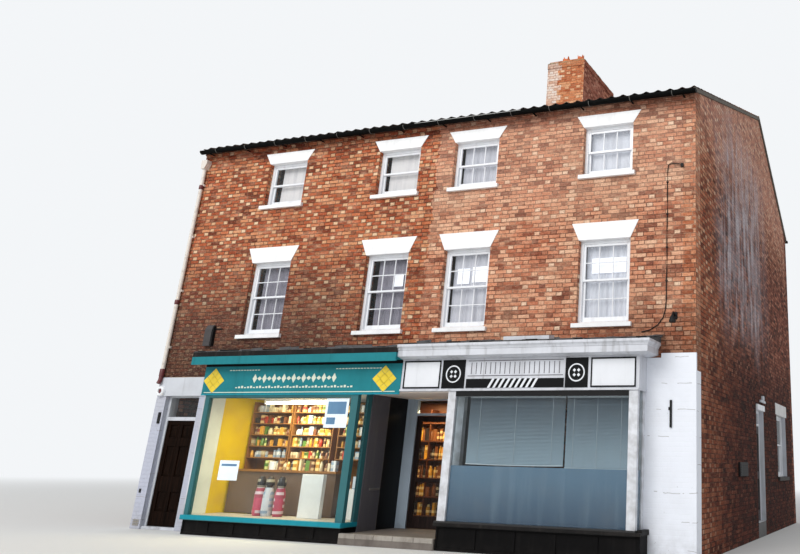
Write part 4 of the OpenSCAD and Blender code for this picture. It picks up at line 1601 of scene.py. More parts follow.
@dataclass
class Windows:
    """All sash windows: eight to the street, nine to the rear and one in the gable."""

    bays: Tuple[Bay, ...] = (
        Bay(2.375, 1, Curtain.BLIND, BLIND, 0.12, NET_DIM, 0.06),
        Bay(5.215, 1, Curtain.BLIND, BLIND, 0.07, NET_DIM, 0.1),
        Bay(7.01, 3, Curtain.NET, NET, 0.04, NET, 0.04),
        Bay(9.81, 3, Curtain.BLIND, NET_BRIGHT, 0.0, NET_BRIGHT, 0.0),
    )
    rear_levels: Pairs = ((1.05, 2.35), (3.735, 5.235), (6.15, 6.95))
    rear_centres: Tuple[float, ...] = (2.4, 5.75, 9.1)
    rear_y: float = 10.7
    gable: Pair = (11.5, 8.65)
    bevel: float = 0.003

    def build(self) -> None:
        """Builds every window with its glass and curtains."""
        self.street()
        self.rear()

    def fit(self, sash: Sash, matrix: Matrix, frames: Shape, glass: Shape) -> None:
        """Adds one window.

        Args:
            sash: Its measures.
            matrix: Turns them into the building's.
            frames: Where the frame's faces go.
            glass: Where the panes go.
        """
        frames.matrix = glass.matrix = matrix
        sash.frame(frames)
        sash.panes(glass)

    def build_frames(self, frames: Shape, name: str, node: str) -> None:
        """Makes one piece of all frames and sashes that stand for a node."""
        frames.build(name, (WHITE_GLOSS,), "window_paint", bevel=self.bevel, replaces=(node,))

    def street(self) -> None:
        """Builds the windows of the street face."""
        upper_frames, first_frames, glass = Shape(), Shape(), Shape()
        for i, bay in enumerate(self.bays):
            matrix = Matrix.Translation((bay.x, 0, 0))
            upper = Sash(low=6.5, high=7.46, columns=bay.bars, rows=(1, 1), meeting=0.5)
            first = Sash()
            self.fit(upper, matrix, upper_frames, glass)
            self.fit(first, matrix, first_frames, glass)
            name = f"second_floor_hanging_{i + 1}"
            upper.hanging(name, bay.kind, bay.upper, matrix, 31 + i, bay.upper_shift)
            first.hanging(f"first_floor_net_{i + 1}", Curtain.NET, bay.first, matrix, 41 + i, bay.first_shift)
        self.build_frames(upper_frames, "second_floor_sashes", "upper_frames")
        self.build_frames(first_frames, "first_floor_sashes", "first_frames")
        glass.build("street_panes", (PANE,), "window_glass", replaces=("street_glass",))
        depth = (0.222, 0.226)
        papers = Shape().boxes(
            (5.3, 5.5, *depth, 4.62, 4.86), (6.72, 6.98, *depth, 4.6, 4.9),
            (7.04, 7.36, *depth, 4.62, 4.92), (9.5, 10.16, *depth, 4.66, 4.94),
        )
        papers.build("window_papers", (PAPER,), "window_paint")

    def rear(self) -> None:
        """Builds the plain windows of the rear wall and the gable."""
        frames, glass = Shape(), Shape()
        for low, high in self.rear_levels:
            for x in self.rear_centres:
                matrix = Matrix.Translation((x, self.rear_y, 0)) @ Matrix.Rotation(math.pi, 4, "Z")
                sash = Sash(low=low, high=high, columns=2, rows=(1, 1))
                self.fit(sash, matrix, frames, glass)
                if low == self.rear_levels[0][0]:
                    name = f"rear_blind_{int(x)}"
                    sash.hanging(name, Curtain.BLIND, BLIND_REAR, matrix, int(x), 0.0)
        matrix = Matrix.Translation((*self.gable, 0)) @ Matrix.Rotation(math.pi / 2, 4, "Z")
        self.fit(Sash(width=1.4, low=1.19, high=2.67, columns=2, rows=(1, 1)), matrix, frames, glass)
        self.build_frames(frames, "rear_sashes", "rear_frames")
        glass.build("rear_panes", (PANE,), "window_glass", replaces=("rear_glass",))


@dataclass
class PanelDoor:
    """A framed door leaf with raised and fielded panels, its outer face towards -y in its own measures."""

    rows: Pairs
    columns: Pairs = ((-0.275, -0.045), (0.045, 0.275))
    width: float = 0.762
    height: float = 1.981
    thick: float = 0.045
    margin: float = 0.012

    def leaf(self, shape: Shape, foot: float) -> None:
        """Adds the framing and the panels.

        Args:
            shape: Where the faces go.
            foot: Height of the leaf's foot.
        """
        half = self.width / 2
        xs = sorted({-half, half} | {x for pair in self.columns for x in pair})
        zs = sorted({0.0, self.height} | {z for pair in self.rows for z in pair})
        for a, b in zip(xs, xs[1:]):
            for c, d in zip(zs, zs[1:]):
                low, high = foot + c, foot + d
                if (a, b) in self.columns and (c, d) in self.rows:
                    shape.box((a, b), (0.02, self.thick - 0.008), (low, high))
                    x, z = (a + self.margin, b - self.margin), (low + self.margin, high - self.margin)
                    shape.fielded(x, z, 0.006, 0.013, 0.045)
                else:
                    shape.box((a, b), (0.0, self.thick), (low, high))


@dataclass
class Doors:
    """The left, side and shop doors, each by the place of its leaf's middle."""

    left: Pair = (0.693, 0.11)
    side: Pair = (11.39, 5.65)
    shop: Pair = (5.952, 1.175)
    shop_half: float = 0.425
    shop_z: Pair = (0.177, 2.217)
    shop_stile: float = 0.11

    def build(self) -> None:
        """Builds the three leaves."""
        shape = Shape(Matrix.Translation((*self.left, 0)))
        PanelDoor(rows=((0.27, 0.63), (0.92, 1.49), (1.66, 1.9))).leaf(shape, 0.057)
        shape.build("left_door_leaf", (BROWN_DOOR,), "brown_wood", "left_door", 0.004, ("left_door",))
        shape = Shape(Matrix.Translation((*self.side, 0)) @ Matrix.Rotation(math.pi / 2, 4, "Z"))
        PanelDoor(rows=((0.22, 0.86), (1.02, 1.82))).leaf(shape, 0.307)
        shape.build("side_door_leaf", (DARK_DOOR,), "side_door_wood", "side_door", 0.004, ("side_door",))
        self.shop_leaf()

    def shop_leaf(self) -> None:
        """Builds the glazed shop door with its pull and kick panel."""
        shape = Shape(Matrix.Translation((*self.shop, 0)))
        half, clear = self.shop_half, self.shop_half - self.shop_stile
        shape.border((-half, half), (0, 0.045), self.shop_z, self.shop_stile, 0.22, self.shop_stile)
        shape.box((-clear, clear), (0.005, 0.04), (1.0, 1.07))
        grip = half - self.shop_stile / 2
        path = [(grip, y, z) for y, z in ((-0.001, 1.0), (-0.04, 1.02), (-0.04, 1.3), (-0.001, 1.32))]
        shape.use(1).rod(path, 0.009, 10)
        finishes = (DARK_DOOR, STEEL)
        shape.build("shop_door_leaf", finishes, "shop_door_wood", "shop_door", 0.003, ("shop_door",))
        dress("shop_door_glass", SHOP_PANE)


@dataclass
class LeftShop:
    """The left shopfront: sign board, cornice, posts, sill and panelled base."""

    x: Pair = (1.72, 5.28)
    sill: Pair = (0.262, 0.338)
    right_x: Pair = (7.15, 10.725)
    sign: Pair = (1.6, 6.15)
    sign_foot: float = 2.545
    sign_head: float = 3.0
    board: float = -0.4
    ground: float = -0.412
    motif: float = -0.416
    hood: Pair = (1.44, 6.15)
    base_face: float = -0.4
    base_panel: float = -0.385
    base_back: float = -0.342

    def build(self) -> None:
        """Builds the dressings of the left shopfront."""
        self.cornice()
        self.sign_board()
        self.beads()
        self.bases()

    def cornice(self) -> None:
        """Builds the teal hood, its black top, whose dark band is partly painted shadow under the lead's
        edge, and the lead on it.
        """
        shape = Shape()
        top, front = 3.215, -0.6
        shape.along_x(self.hood, [(0.0, 3.107), (front, 3.107), (front, top), (0.0, top)])
        shape.along_x(self.hood, [(front, 3.066), (-0.639, 3.066), (-0.639, top), (front, top)])
        # Black top of the hood: black paint, and partly painted shadow under the lead's edge.
        shape.use(1).along_x(self.hood, [
            (-0.02, top), (-0.634, top), (-0.634, 3.306), (front, 3.326), (-0.02, 3.394),
        ])
        shape.use(2).along_x(self.hood, [
            (0.0, 3.394), (front, 3.326), (-0.638, 3.306), (-0.638, 3.31), (front, 3.33), (0.0, 3.4),
        ])
        shape.build("left_cornice_hood", (TEAL, BLACK_LEDGE, LEAD), "teal_paint", replaces=("left_cornice",))

    def sign_board(self) -> None:
        """Builds the sign's border lines and its plain lozenges."""
        shape = Shape()
        depth = (self.motif, self.ground)
        left, right = self.sign
        foot, head = self.sign_foot, self.sign_head
        middle = (foot + head) / 2 + 0.035
        shape.box((left + 0.06, right - 0.1), depth, (foot, foot + 0.014))
        for i in range(17):
            shape.lozenge((2.86 + i * 0.115, middle), (0.052, 0.04 if i % 2 else 0.085), depth)
        for i in range(38):
            x = 2.42 + i * 0.072
            shape.box((x, x + 0.045), depth, (foot + 0.085, foot + 0.104 + 0.012 * (i % 3)))
        for start, count in ((2.22, 11), (4.72, 15)):
            for x in (start + i * 0.068 for i in range(count)):
                shape.box((x, x + 0.046), depth, (head - 0.04, head - 0.024))
        shape.use(1)
        for centre in (1.86, 5.8):
            for i in range(3):
                for j in range(3):
                    grow = 1.25 if i == j == 1 else 1.0
                    place = (centre + (i - j) * 0.086, middle - 0.03 + (i + j - 2) * 0.08)
                    shape.lozenge(place, (0.082 * grow, 0.076 * grow), depth)
        shape.build("left_sign_pattern", (SIGN_CREAM, SIGN_YELLOW), "teal_paint")
        trim = Shape().boxes((*self.sign, -0.42, self.board, 2.5, 2.526))
        # Partly painted shadow: the black strip along the sign's top also stands for the shade under the
        # hood.
        trim.use(1).boxes((*self.sign, -0.414, self.board, 3.046, 3.104))
        trim.use(2).boxes((*self.sign, self.ground, self.board, 2.526, 3.046))
        trim.build("left_sign_trim", (TURQUOISE, SIGN_BLACK, TEAL), "teal_paint", bevel=0.002)

    def beads(self) -> None:
        """Builds the glazing beads, the pale corner strip and the bright sill top."""
        left, right = self.x
        sill = Shape().boxes(
            (left - 0.022, right + 0.022, -0.458, -0.3, *self.sill),
            (right - 0.064, right + 0.006, -0.3, 0.022, *self.sill),
        )
        sill.build("left_shop_sill", (TURQUOISE,), "teal_paint", bevel=0.006)
        depth = (-0.385, -0.362)
        bead = Shape().boxes(
            (left + 0.095, left + 0.11, *depth, self.sill[1], 2.46),
            (right - 0.16, right - 0.145, *depth, self.sill[1], 2.46),
            (left + 0.11, right - 0.16, *depth, 2.445, 2.46),
        )
        bead.build("left_shop_beads", (TEAL_DARK,), "teal_paint", bevel=0.003)
        strip = Shape().boxes(
            (left - 0.026, left, -0.402, -0.33, self.sill[1], 2.548), (1.6, 1.7, -0.02, -0.001, 0.0, 2.52),
        )
        strip.build("left_shop_edge", (WHITE_DIRTY,), "white_paint")

    def bases(self) -> None:
        """Builds the black panelled bases of both shops."""
        shape = Shape()
        self.riser(shape, self.x, 0.255, 6, (0.0, 0.02))
        self.riser(shape, self.right_x, 0.375, 5, (0.02, 0.0))
        shape.build("panelled_bases", (BLACK,), "black_paint", bevel=0.004, replaces=("stallrisers",))

    def riser(self, shape: Shape, x: Pair, top: float, count: int, ends: Pair) -> None:
        """Adds one base with recessed panels.

        Args:
            shape: Where the faces go.
            x: Its ends.
            top: Its height.
            count: How many panels.
            ends: Where its left and right returns meet the wall.
        """
        a, b = x[0] + 0.005, x[1] - 0.005
        face = (self.base_face, self.base_panel)
        low, high = 0.045, top - 0.03
        shape.box((a, b), (self.base_panel, self.base_back), (0.0, top))
        shape.boxes((a, b, *face, 0.0, low), (a, b, *face, high, top))
        for i in range(count + 1):
            middle = a + i * (b - a) / count
            shape.box((max(a, middle - 0.035), min(b, middle + 0.035)), face, (low, high))
        shape.box((a, a + 0.055), (self.base_back, ends[0]), (0.0, top))
        shape.box((b - 0.055, b), (self.base_back, ends[1]), (0.0, top))


@dataclass(frozen=True)
class Venetian:
    """One venetian blind: its ends, foot, sag at its middle and rise at its right end."""

    x: Pair
    foot: float
    sag: float
    tip: float = 0.0

    def sections(self, outline: Pairs, level: float, lack: float) -> List[Ring]:
        """Gives the sections of a slat or of the rail.

        Args:
            outline: Its outline in Y and Z.
            level: Its height.
            lack: Its share of the sag and the rise.

        Returns:
            One section for each step along it.
        """
        left, right = self.x
        sections = []
        for t in (j / 8 for j in range(9)):
            z = level + lack * (self.tip * t - self.sag * math.sin(t * math.pi))
            sections.append([(left + (right - left) * t, y, z + up) for y, up in outline])
        return sections


@dataclass
class RightShop:
    """The right shopfront: sign board, returned cornice, ledge, blinds and film."""

    board_x: Pair = (6.15, 10.66)
    board: float = -0.4
    wall_top: float = 3.445
    outline: Pairs = (
        (0.4, 3.105), (0.49, 3.118), (0.56, 3.136), (0.585, 3.142), (0.59, 3.144), (0.59, 3.245),
        (0.6, 3.252), (0.604, 3.268), (0.618, 3.292), (0.634, 3.306), (0.636, 3.322), (0.636, 3.35),
    )
    panels: Pairs = ((6.205, 6.955), (9.815, 10.604))
    squares: Pairs = ((6.994, 7.442), (9.355, 9.761))
    band: Pair = (2.602, 2.755)
    film_z: Pair = (0.457, 1.33)
    slat_pitch: float = 0.0215
    blind_head: float = 2.44
    blinds: Tuple[Venetian, ...] = (
        Venetian((7.545, 9.34), 1.365, 0.012), Venetian((9.372, 10.47), 1.335, 0.004, -0.006),
    )

    def build(self) -> None:
        """Builds the dressings of the right shopfront."""
        self.cornice()
        self.sign_board()
        self.ledge()
        self.film()
        self.hang_blinds()

    def cornice(self) -> None:
        """Builds the moulding, turned back to the wall at its right end, and the lead on it."""
        left, start = self.board_x[0], self.outline[0][0]

        def level(out: float, z: float) -> Ring:
            """Gives the moulding's plan at one height, from the wall round both ends."""
            right = self.board_x[1] + out - start
            return [(left, 0.0, z), (left, -out, z), (right, -out, z), (right, 0.0, z)]

        shape = Shape()
        shape.sweep([level(out, z) for out, z in self.outline])
        near, front, far, end = level(*self.outline[-1])
        thin = 0.004
        shape.use(1).sweep([
            [(*near[:2], self.wall_top), (*end[:2], self.wall_top), end, near],
            [(*front[:2], front[2] + thin), (*far[:2], far[2] + thin), far, front],
        ])
        finishes = (WHITE_DIRTY, LEAD)
        shape.build("right_cornice_moulding", finishes, "white_paint", replaces=("right_cornice",))

    def sign_board(self) -> None:
        """Builds the framed blank panels, the black squares and the striped band."""
        shape = Shape()
        rim, face = (-0.418, -0.408), (-0.408, self.board)
        low, high, wide = 2.6, 3.08, 0.024
        for a, b in self.panels:
            shape.use(0).box((a, b), face, (low, high))
            shape.use(1).boxes(
                (a, b, *rim, high - wide, high), (a, b, *rim, low, low + wide),
                (a, a + 0.022, *rim, low + wide, high - wide), (b - 0.022, b, *rim, low + wide, high - wide),
            )
        for span in self.squares:
            shape.use(2).box(span, (-0.412, self.board), (2.598, 3.084))
            self.motif(shape.use(0), (span[0] + span[1]) / 2, 2.841, (-0.415, -0.412))
        shape.use(2).box((7.48, 9.33), (-0.41, self.board), self.band)
        self.stripes(shape.use(0), (7.9, 8.92), 9, 0.09)
        thin = (-0.404, self.board)
        shape.use(3)
        for x in (7.56 + i * 0.093 for i in range(19)):
            shape.along_y(thin, [(x, 2.835), (x + 0.012, 2.835), (x + 0.012, 3.035), (x, 3.035)])
        shape.boxes((7.5, 9.31, *thin, 2.8, 2.812), (7.5, 9.31, *thin, 3.056, 3.068))
        finishes = (SIGN_WHITE, SIGN_BLACK, SIGN_BLACK, LOBBY_GREY)
        shape.build("right_sign_panels", finishes, "white_paint")
        end = self.board_x[1]
        trim = Shape().boxes(
            (*self.board_x, -0.425, self.board, 2.552, 2.588),
            (*self.board_x, -0.412, self.board, 3.09, 3.104),
            (end, end + 0.01, self.board, 0.0, 2.552, 2.588),
        )
        trim.build("right_sign_trim", (WHITE_DIRTY,), "white_paint", bevel=0.004)

    def motif(self, shape: Shape, x: float, z: float, y: Pair) -> None:
        """Adds a ring with four small lozenges.

        Args:
            shape: Where the faces go.
            x: Its middle.
            z: Its middle's height.
            y: Front and back.
        """
        outer, inner = 0.15, 0.128
        spokes = circle(24)
        for (a, b), (c, d) in zip(spokes, spokes[1:] + spokes[:1]):
            corners = ((outer, a, b), (outer, c, d), (inner, c, d), (inner, a, b))
            shape.along_y(y, [(x + reach * across, z + reach * up) for reach, across, up in corners])
        for across, up in circle(8)[1::2]:
            shape.lozenge((x + 0.055 * across, z + 0.055 * up), (0.03, 0.03), y)

    def stripes(self, shape: Shape, x: Pair, count: int, lean: float) -> None:
        """Adds slanting stripes on the band.

        Args:
            shape: Where the faces go.
            x: Left and right end.
            count: How many stripes.
            lean: How far a stripe leans over its height.
        """
        pitch = (x[1] - x[0] - lean) / count
        low, high = self.band
        for i in range(count):
            a = x[0] + i * pitch
            b = a + pitch * 0.45
            shape.along_y((-0.414, -0.41), [(a, low), (b, low), (b + lean, high), (a + lean, high)])

    def ledge(self) -> None:
        """Builds the dark ledge under the right window, its corner and a black board at the window's head,
        which paints the shadow under the fascia.
        """
        ledge = Shape().boxes(
            (7.125, 10.75, -0.47, -0.4, 0.378, 0.43), (10.662, 10.75, -0.4, -0.03, 0.378, 0.46),
        )
        ledge.build("right_window_ledge", (BLACK_LEDGE,), "black_paint", bevel=0.008)
        # Painted shadow: a black board hides the window's white head rail, standing for the shade under the
        # fascia.
        head = Shape().boxes((7.301, 10.489, -0.408, -0.399, 2.46, 2.551))
        head.build("right_head_shadow_board", (LOBBY_BLACK,), "black_paint", bevel=0.002)

    def film(self) -> None:
        """Puts the frosted film on the lower panes."""
        shape = Shape().boxes(
            (7.302, 10.488, -0.3535, -0.3515, *self.film_z), (7.177, 7.1785, -0.308, -0.092, *self.film_z),
            (10.6115, 10.613, -0.308, -0.112, *self.film_z),
        )
        shape.build("frosted_film", (FILM,), "shop_glass")

    def hang_blinds(self) -> None:
        """Hangs the two venetian blinds, the left one sagging a little."""
        shape = Shape()
        slat = ((-0.302, -0.01), (-0.2925, 0.0015), (-0.284, 0.012), (-0.2925, 0.001))
        rail = ((-0.308, -0.01), (-0.28, -0.01), (-0.28, 0.006), (-0.308, 0.006))
        for blind in self.blinds:
            count = int((self.blind_head - blind.foot) / self.slat_pitch)
            for i in range(count):
                level = blind.foot + 0.012 + i * self.slat_pitch
                shape.use(0).sweep(blind.sections(slat, level, 1 - i / count))
            shape.use(1).sweep(blind.sections(rail, blind.foot, 1.0))
            left, right = blind.x
            shape.box(blind.x, (-0.312, -0.276), (self.blind_head, self.blind_head + 0.03))
            for share in (0.12, 0.5, 0.88):
                x = left + (right - left) * share
                shape.box((x - 0.002, x + 0.002), (-0.3085, -0.3065), (blind.foot, self.blind_head))
        shape.build("venetian_blinds", (SLAT, RAIL), "grey_paint")


@dataclass
class Lobby:
    """The recessed entrance: side panels, soffit and nosing."""

    x: Pair = (5.28, 7.15)
    z: Pair = (0.172, 2.545)
    back: float = 1.155
    nosing_x: Pair = (5.276, 7.154)

    def build(self) -> None:
        """Builds the lobby's pieces."""
        left, right = self.x
        panel = Shape().boxes((left, left + 0.012, 0.03, 0.556, *self.z))
        panel.use(1).boxes(
            (left, left + 0.008, 0.562, self.back, *self.z), (right - 0.012, right, 0.03, self.back, *self.z),
        )
        panel.use(2).boxes((5.292, 5.298, 0.23, 0.54, 0.855, 0.895))
        panel.use(3).boxes((left, left + 0.016, 0.553, 0.565, *self.z))
        panel.build("lobby_panels", (LOBBY_GREY, LOBBY_BLACK, STEEL, TRIM_DARK), "grey_paint", bevel=0.002)
        soffit = Shape().boxes((left + 0.002, right - 0.002, -0.34, self.back, 2.536, 2.549))
        soffit.build("lobby_soffit", (SOFFIT,), "grey_paint")
        nosing = Shape()
        dice = random.Random(5)
        x, end = self.nosing_x
        while x < end - 0.014:
            wide = min(dice.uniform(0.22, 0.42), end - x)
            nosing.box((x, x + wide - 0.006), (-0.446, -0.345), (0.1, 0.178))
            x += wide
        nosing.build("step_nosing", (NOSING,), "step_stone", bevel=0.008)


@dataclass
class ShopInterior:
    """What shows through the left shop's window and door."""

    levels: Tuple[float, ...] = (1.38, 1.6, 1.82, 2.04, 2.26)
    units: Pairs = ((1.84, 2.85), (2.88, 3.9), (4.02, 5.17))
    stocked: Pairs = ((1.87, 2.82), (2.91, 3.87), (4.05, 5.14))
    shelf_y: Pair = (0.765, 1.045)
    partition: Pair = (1.765, 1.79)
    rear_levels: Tuple[float, ...] = (0.34, 0.7, 1.06, 1.42, 1.78, 2.14)
    rear_x: Pair = (4.55, 6.65)
    rear_y: Pair = (2.16, 2.4)
    jars: Tuple[Tuple[float, int], ...] = ((2.95, 7), (3.15, 5), (3.42, 7))
    mixed: Tuple[int, ...] = (0, 0, 1, 1, 2, 2, 3, 4, 5, 6)
    warm: Tuple[int, ...] = (0, 0, 0, 1, 1, 3, 6, 6)

    def build(self) -> None:
        """Builds the fittings, goods, rear shelves, lamp and papers."""
        self.fixed()
        self.stock()
        self.rear()
        self.lamp()
        self.papers()

    def goods(
        self, shape: Shape, x: Pair, y: float, level: float, tall: float, dice: random.Random,
        slots: Sequence[int],
    ) -> None:
        """Fills one shelf with packets and jars.

        Args:
            shape: Where the faces go.
            x: Ends of the shelf.
            y: Front of the shelf.
            level: Top of the shelf.
            tall: Clear height.
            dice: Picks sizes and colours.
            slots: The colours to pick from.
        """
        place = x[0] + 0.02
        while place < x[1] - 0.05:
            wide = dice.choice((0.05, 0.06, 0.07, 0.09, 0.11))
            high = tall * dice.uniform(0.55, 0.92)
            front = y + dice.uniform(0.01, 0.06)
            shape.use(dice.choice(slots))
            if dice.random() < 0.4:
                radius = wide * 0.46
                jar = ((0.9, 0.0), (1.0, 0.01), (1.0, high * 0.7), (0.6, high * 0.84), (0.6, high))
                outline = [(radius * share, up) for share, up in jar]
                shape.lathe((place + wide / 2, front + radius, level), outline, 10)
            else:
                shape.box((place, place + wide - 0.006), (front, front + 0.09), (level, level + high))
            place += wide + dice.uniform(0.0, 0.02)

    def fixed(self) -> None:
        """Builds the partition, the shelves behind the counter, the counter, the bed and the tall cabinet."""
        shape = Shape().boxes((*self.partition, -0.33, 0.04, 0.15, 2.52))
        shape.use(1).boxes((*self.partition, 0.04, 1.22, 0.15, 2.52))
        shape.use(2)
        for left, right in self.units:
            for x in (left, right - 0.022):
                shape.box((x, x + 0.022), self.shelf_y, (1.1, 2.46))
            for z in self.levels:
                shape.box((left + 0.022, right - 0.022), self.shelf_y, (z - 0.02, z))
            shape.box((left, right), (1.06, 1.075), (0.15, 2.46))
        shape.use(3).boxes((1.84, 4.36, 0.445, 0.745, 0.35, 1.11))
        shape.use(2).boxes((1.82, 4.38, 0.415, 0.755, 1.11, 1.15))
        shape.use(4).boxes((1.8, 5.2, -0.335, 0.4, 0.3, 0.34))
        shape.use(5).boxes((3.9, 4.38, 0.08, 0.17, 0.342, 1.1), (4.74, 5.06, 0.26, 0.38, 0.342, 0.86))
        shape.use(0).boxes((1.79, 5.22, -0.335, 1.7, 2.52, 2.532))
        finishes = (PALE_WALL, YELLOW_WALL, SHELF_WOOD, COUNTER_WOOD, BED, CABINET)
        shape.build("shop_interior", finishes, "yellow_board", bevel=0.002, replaces=("shop_fittings",))

    def stock(self) -> None:
        """Builds the packets and jars on every shelf, the counter and the bed."""
        dice = random.Random(77)
        shape = Shape()
        for unit in self.stocked:
            for z in self.levels:
                tall = 0.17 if z == self.levels[-1] else 0.19
                self.goods(shape, unit, self.shelf_y[0] + 0.01, z, tall, dice, self.mixed)
        self.goods(shape, (2.6, 4.3), 0.45, 1.152, 0.24, dice, self.mixed)
        self.goods(shape, (4.75, 5.05), 0.26, 0.862, 0.25, dice, self.mixed)
        jar = ((0.085, 0.0), (0.098, 0.05), (0.098, 0.38), (0.07, 0.5))
        lid = ((0.06, 0.0), (0.085, 0.05), (0.075, 0.14), (0.04, 0.2))
        for x, slot in self.jars:
            shape.use(slot).lathe((x, 0.12, 0.342), jar, 16)
            shape.use(6).lathe((x, 0.12, 0.842), lid, 16)
        for z in self.rear_levels[:-1]:
            self.goods(shape, (4.6, 6.6), self.rear_y[0] + 0.02, z, 0.3, dice, self.warm)
        shape.build("shop_goods", PACKETS, "yellow_board")

    def rear(self) -> None:
        """Builds the dark shelves that show behind the shop door."""
        shape = Shape()
        for z in self.rear_levels:
            shape.box(self.rear_x, self.rear_y, (z - 0.025, z))
        for x in (self.rear_x[0], 5.2, 5.88, self.rear_x[1] - 0.02):
            shape.box((x, x + 0.02), self.rear_y, (0.15, 2.4))
        shape.box(self.rear_x, (self.rear_y[1], self.rear_y[1] + 0.02), (0.15, 2.55))
        shape.build("rear_shelves", (SHELF_DARK,), "yellow_board")

    def lamp(self) -> None:
        """Builds the tube of the strip lamp and its batten."""
        shape = Shape()
        shape.rod([(2.3, 0.6, 2.425), (3.9, 0.6, 2.425)], 0.019, 14)
        shape.use(1).boxes(
            (2.26, 3.94, 0.57, 0.63, 2.452, 2.5), (2.26, 2.3, 0.575, 0.625, 2.4, 2.452),
            (3.9, 3.94, 0.575, 0.625, 2.4, 2.452),
        )
        shape.build("strip_lamp", (TUBE, CABINET), "yellow_board")

    def papers(self) -> None:
        """Builds the blank notices behind the pane, with their blue blocks."""
        sheet, block = (-0.3525, -0.3505), (-0.3545, -0.353)
        shape = Shape().boxes((4.56, 5.06, *sheet, 1.92, 2.44), (2.32, 2.78, *sheet, 0.96, 1.31))
        shape.use(1).boxes(
            (4.61, 5.01, *block, 2.16, 2.38), (4.61, 4.8, *block, 1.98, 2.1),
            (2.37, 2.73, *block, 1.21, 1.25),
        )
        shape.build("window_posters", (PAPER, POSTER_BLUE), "yellow_board")


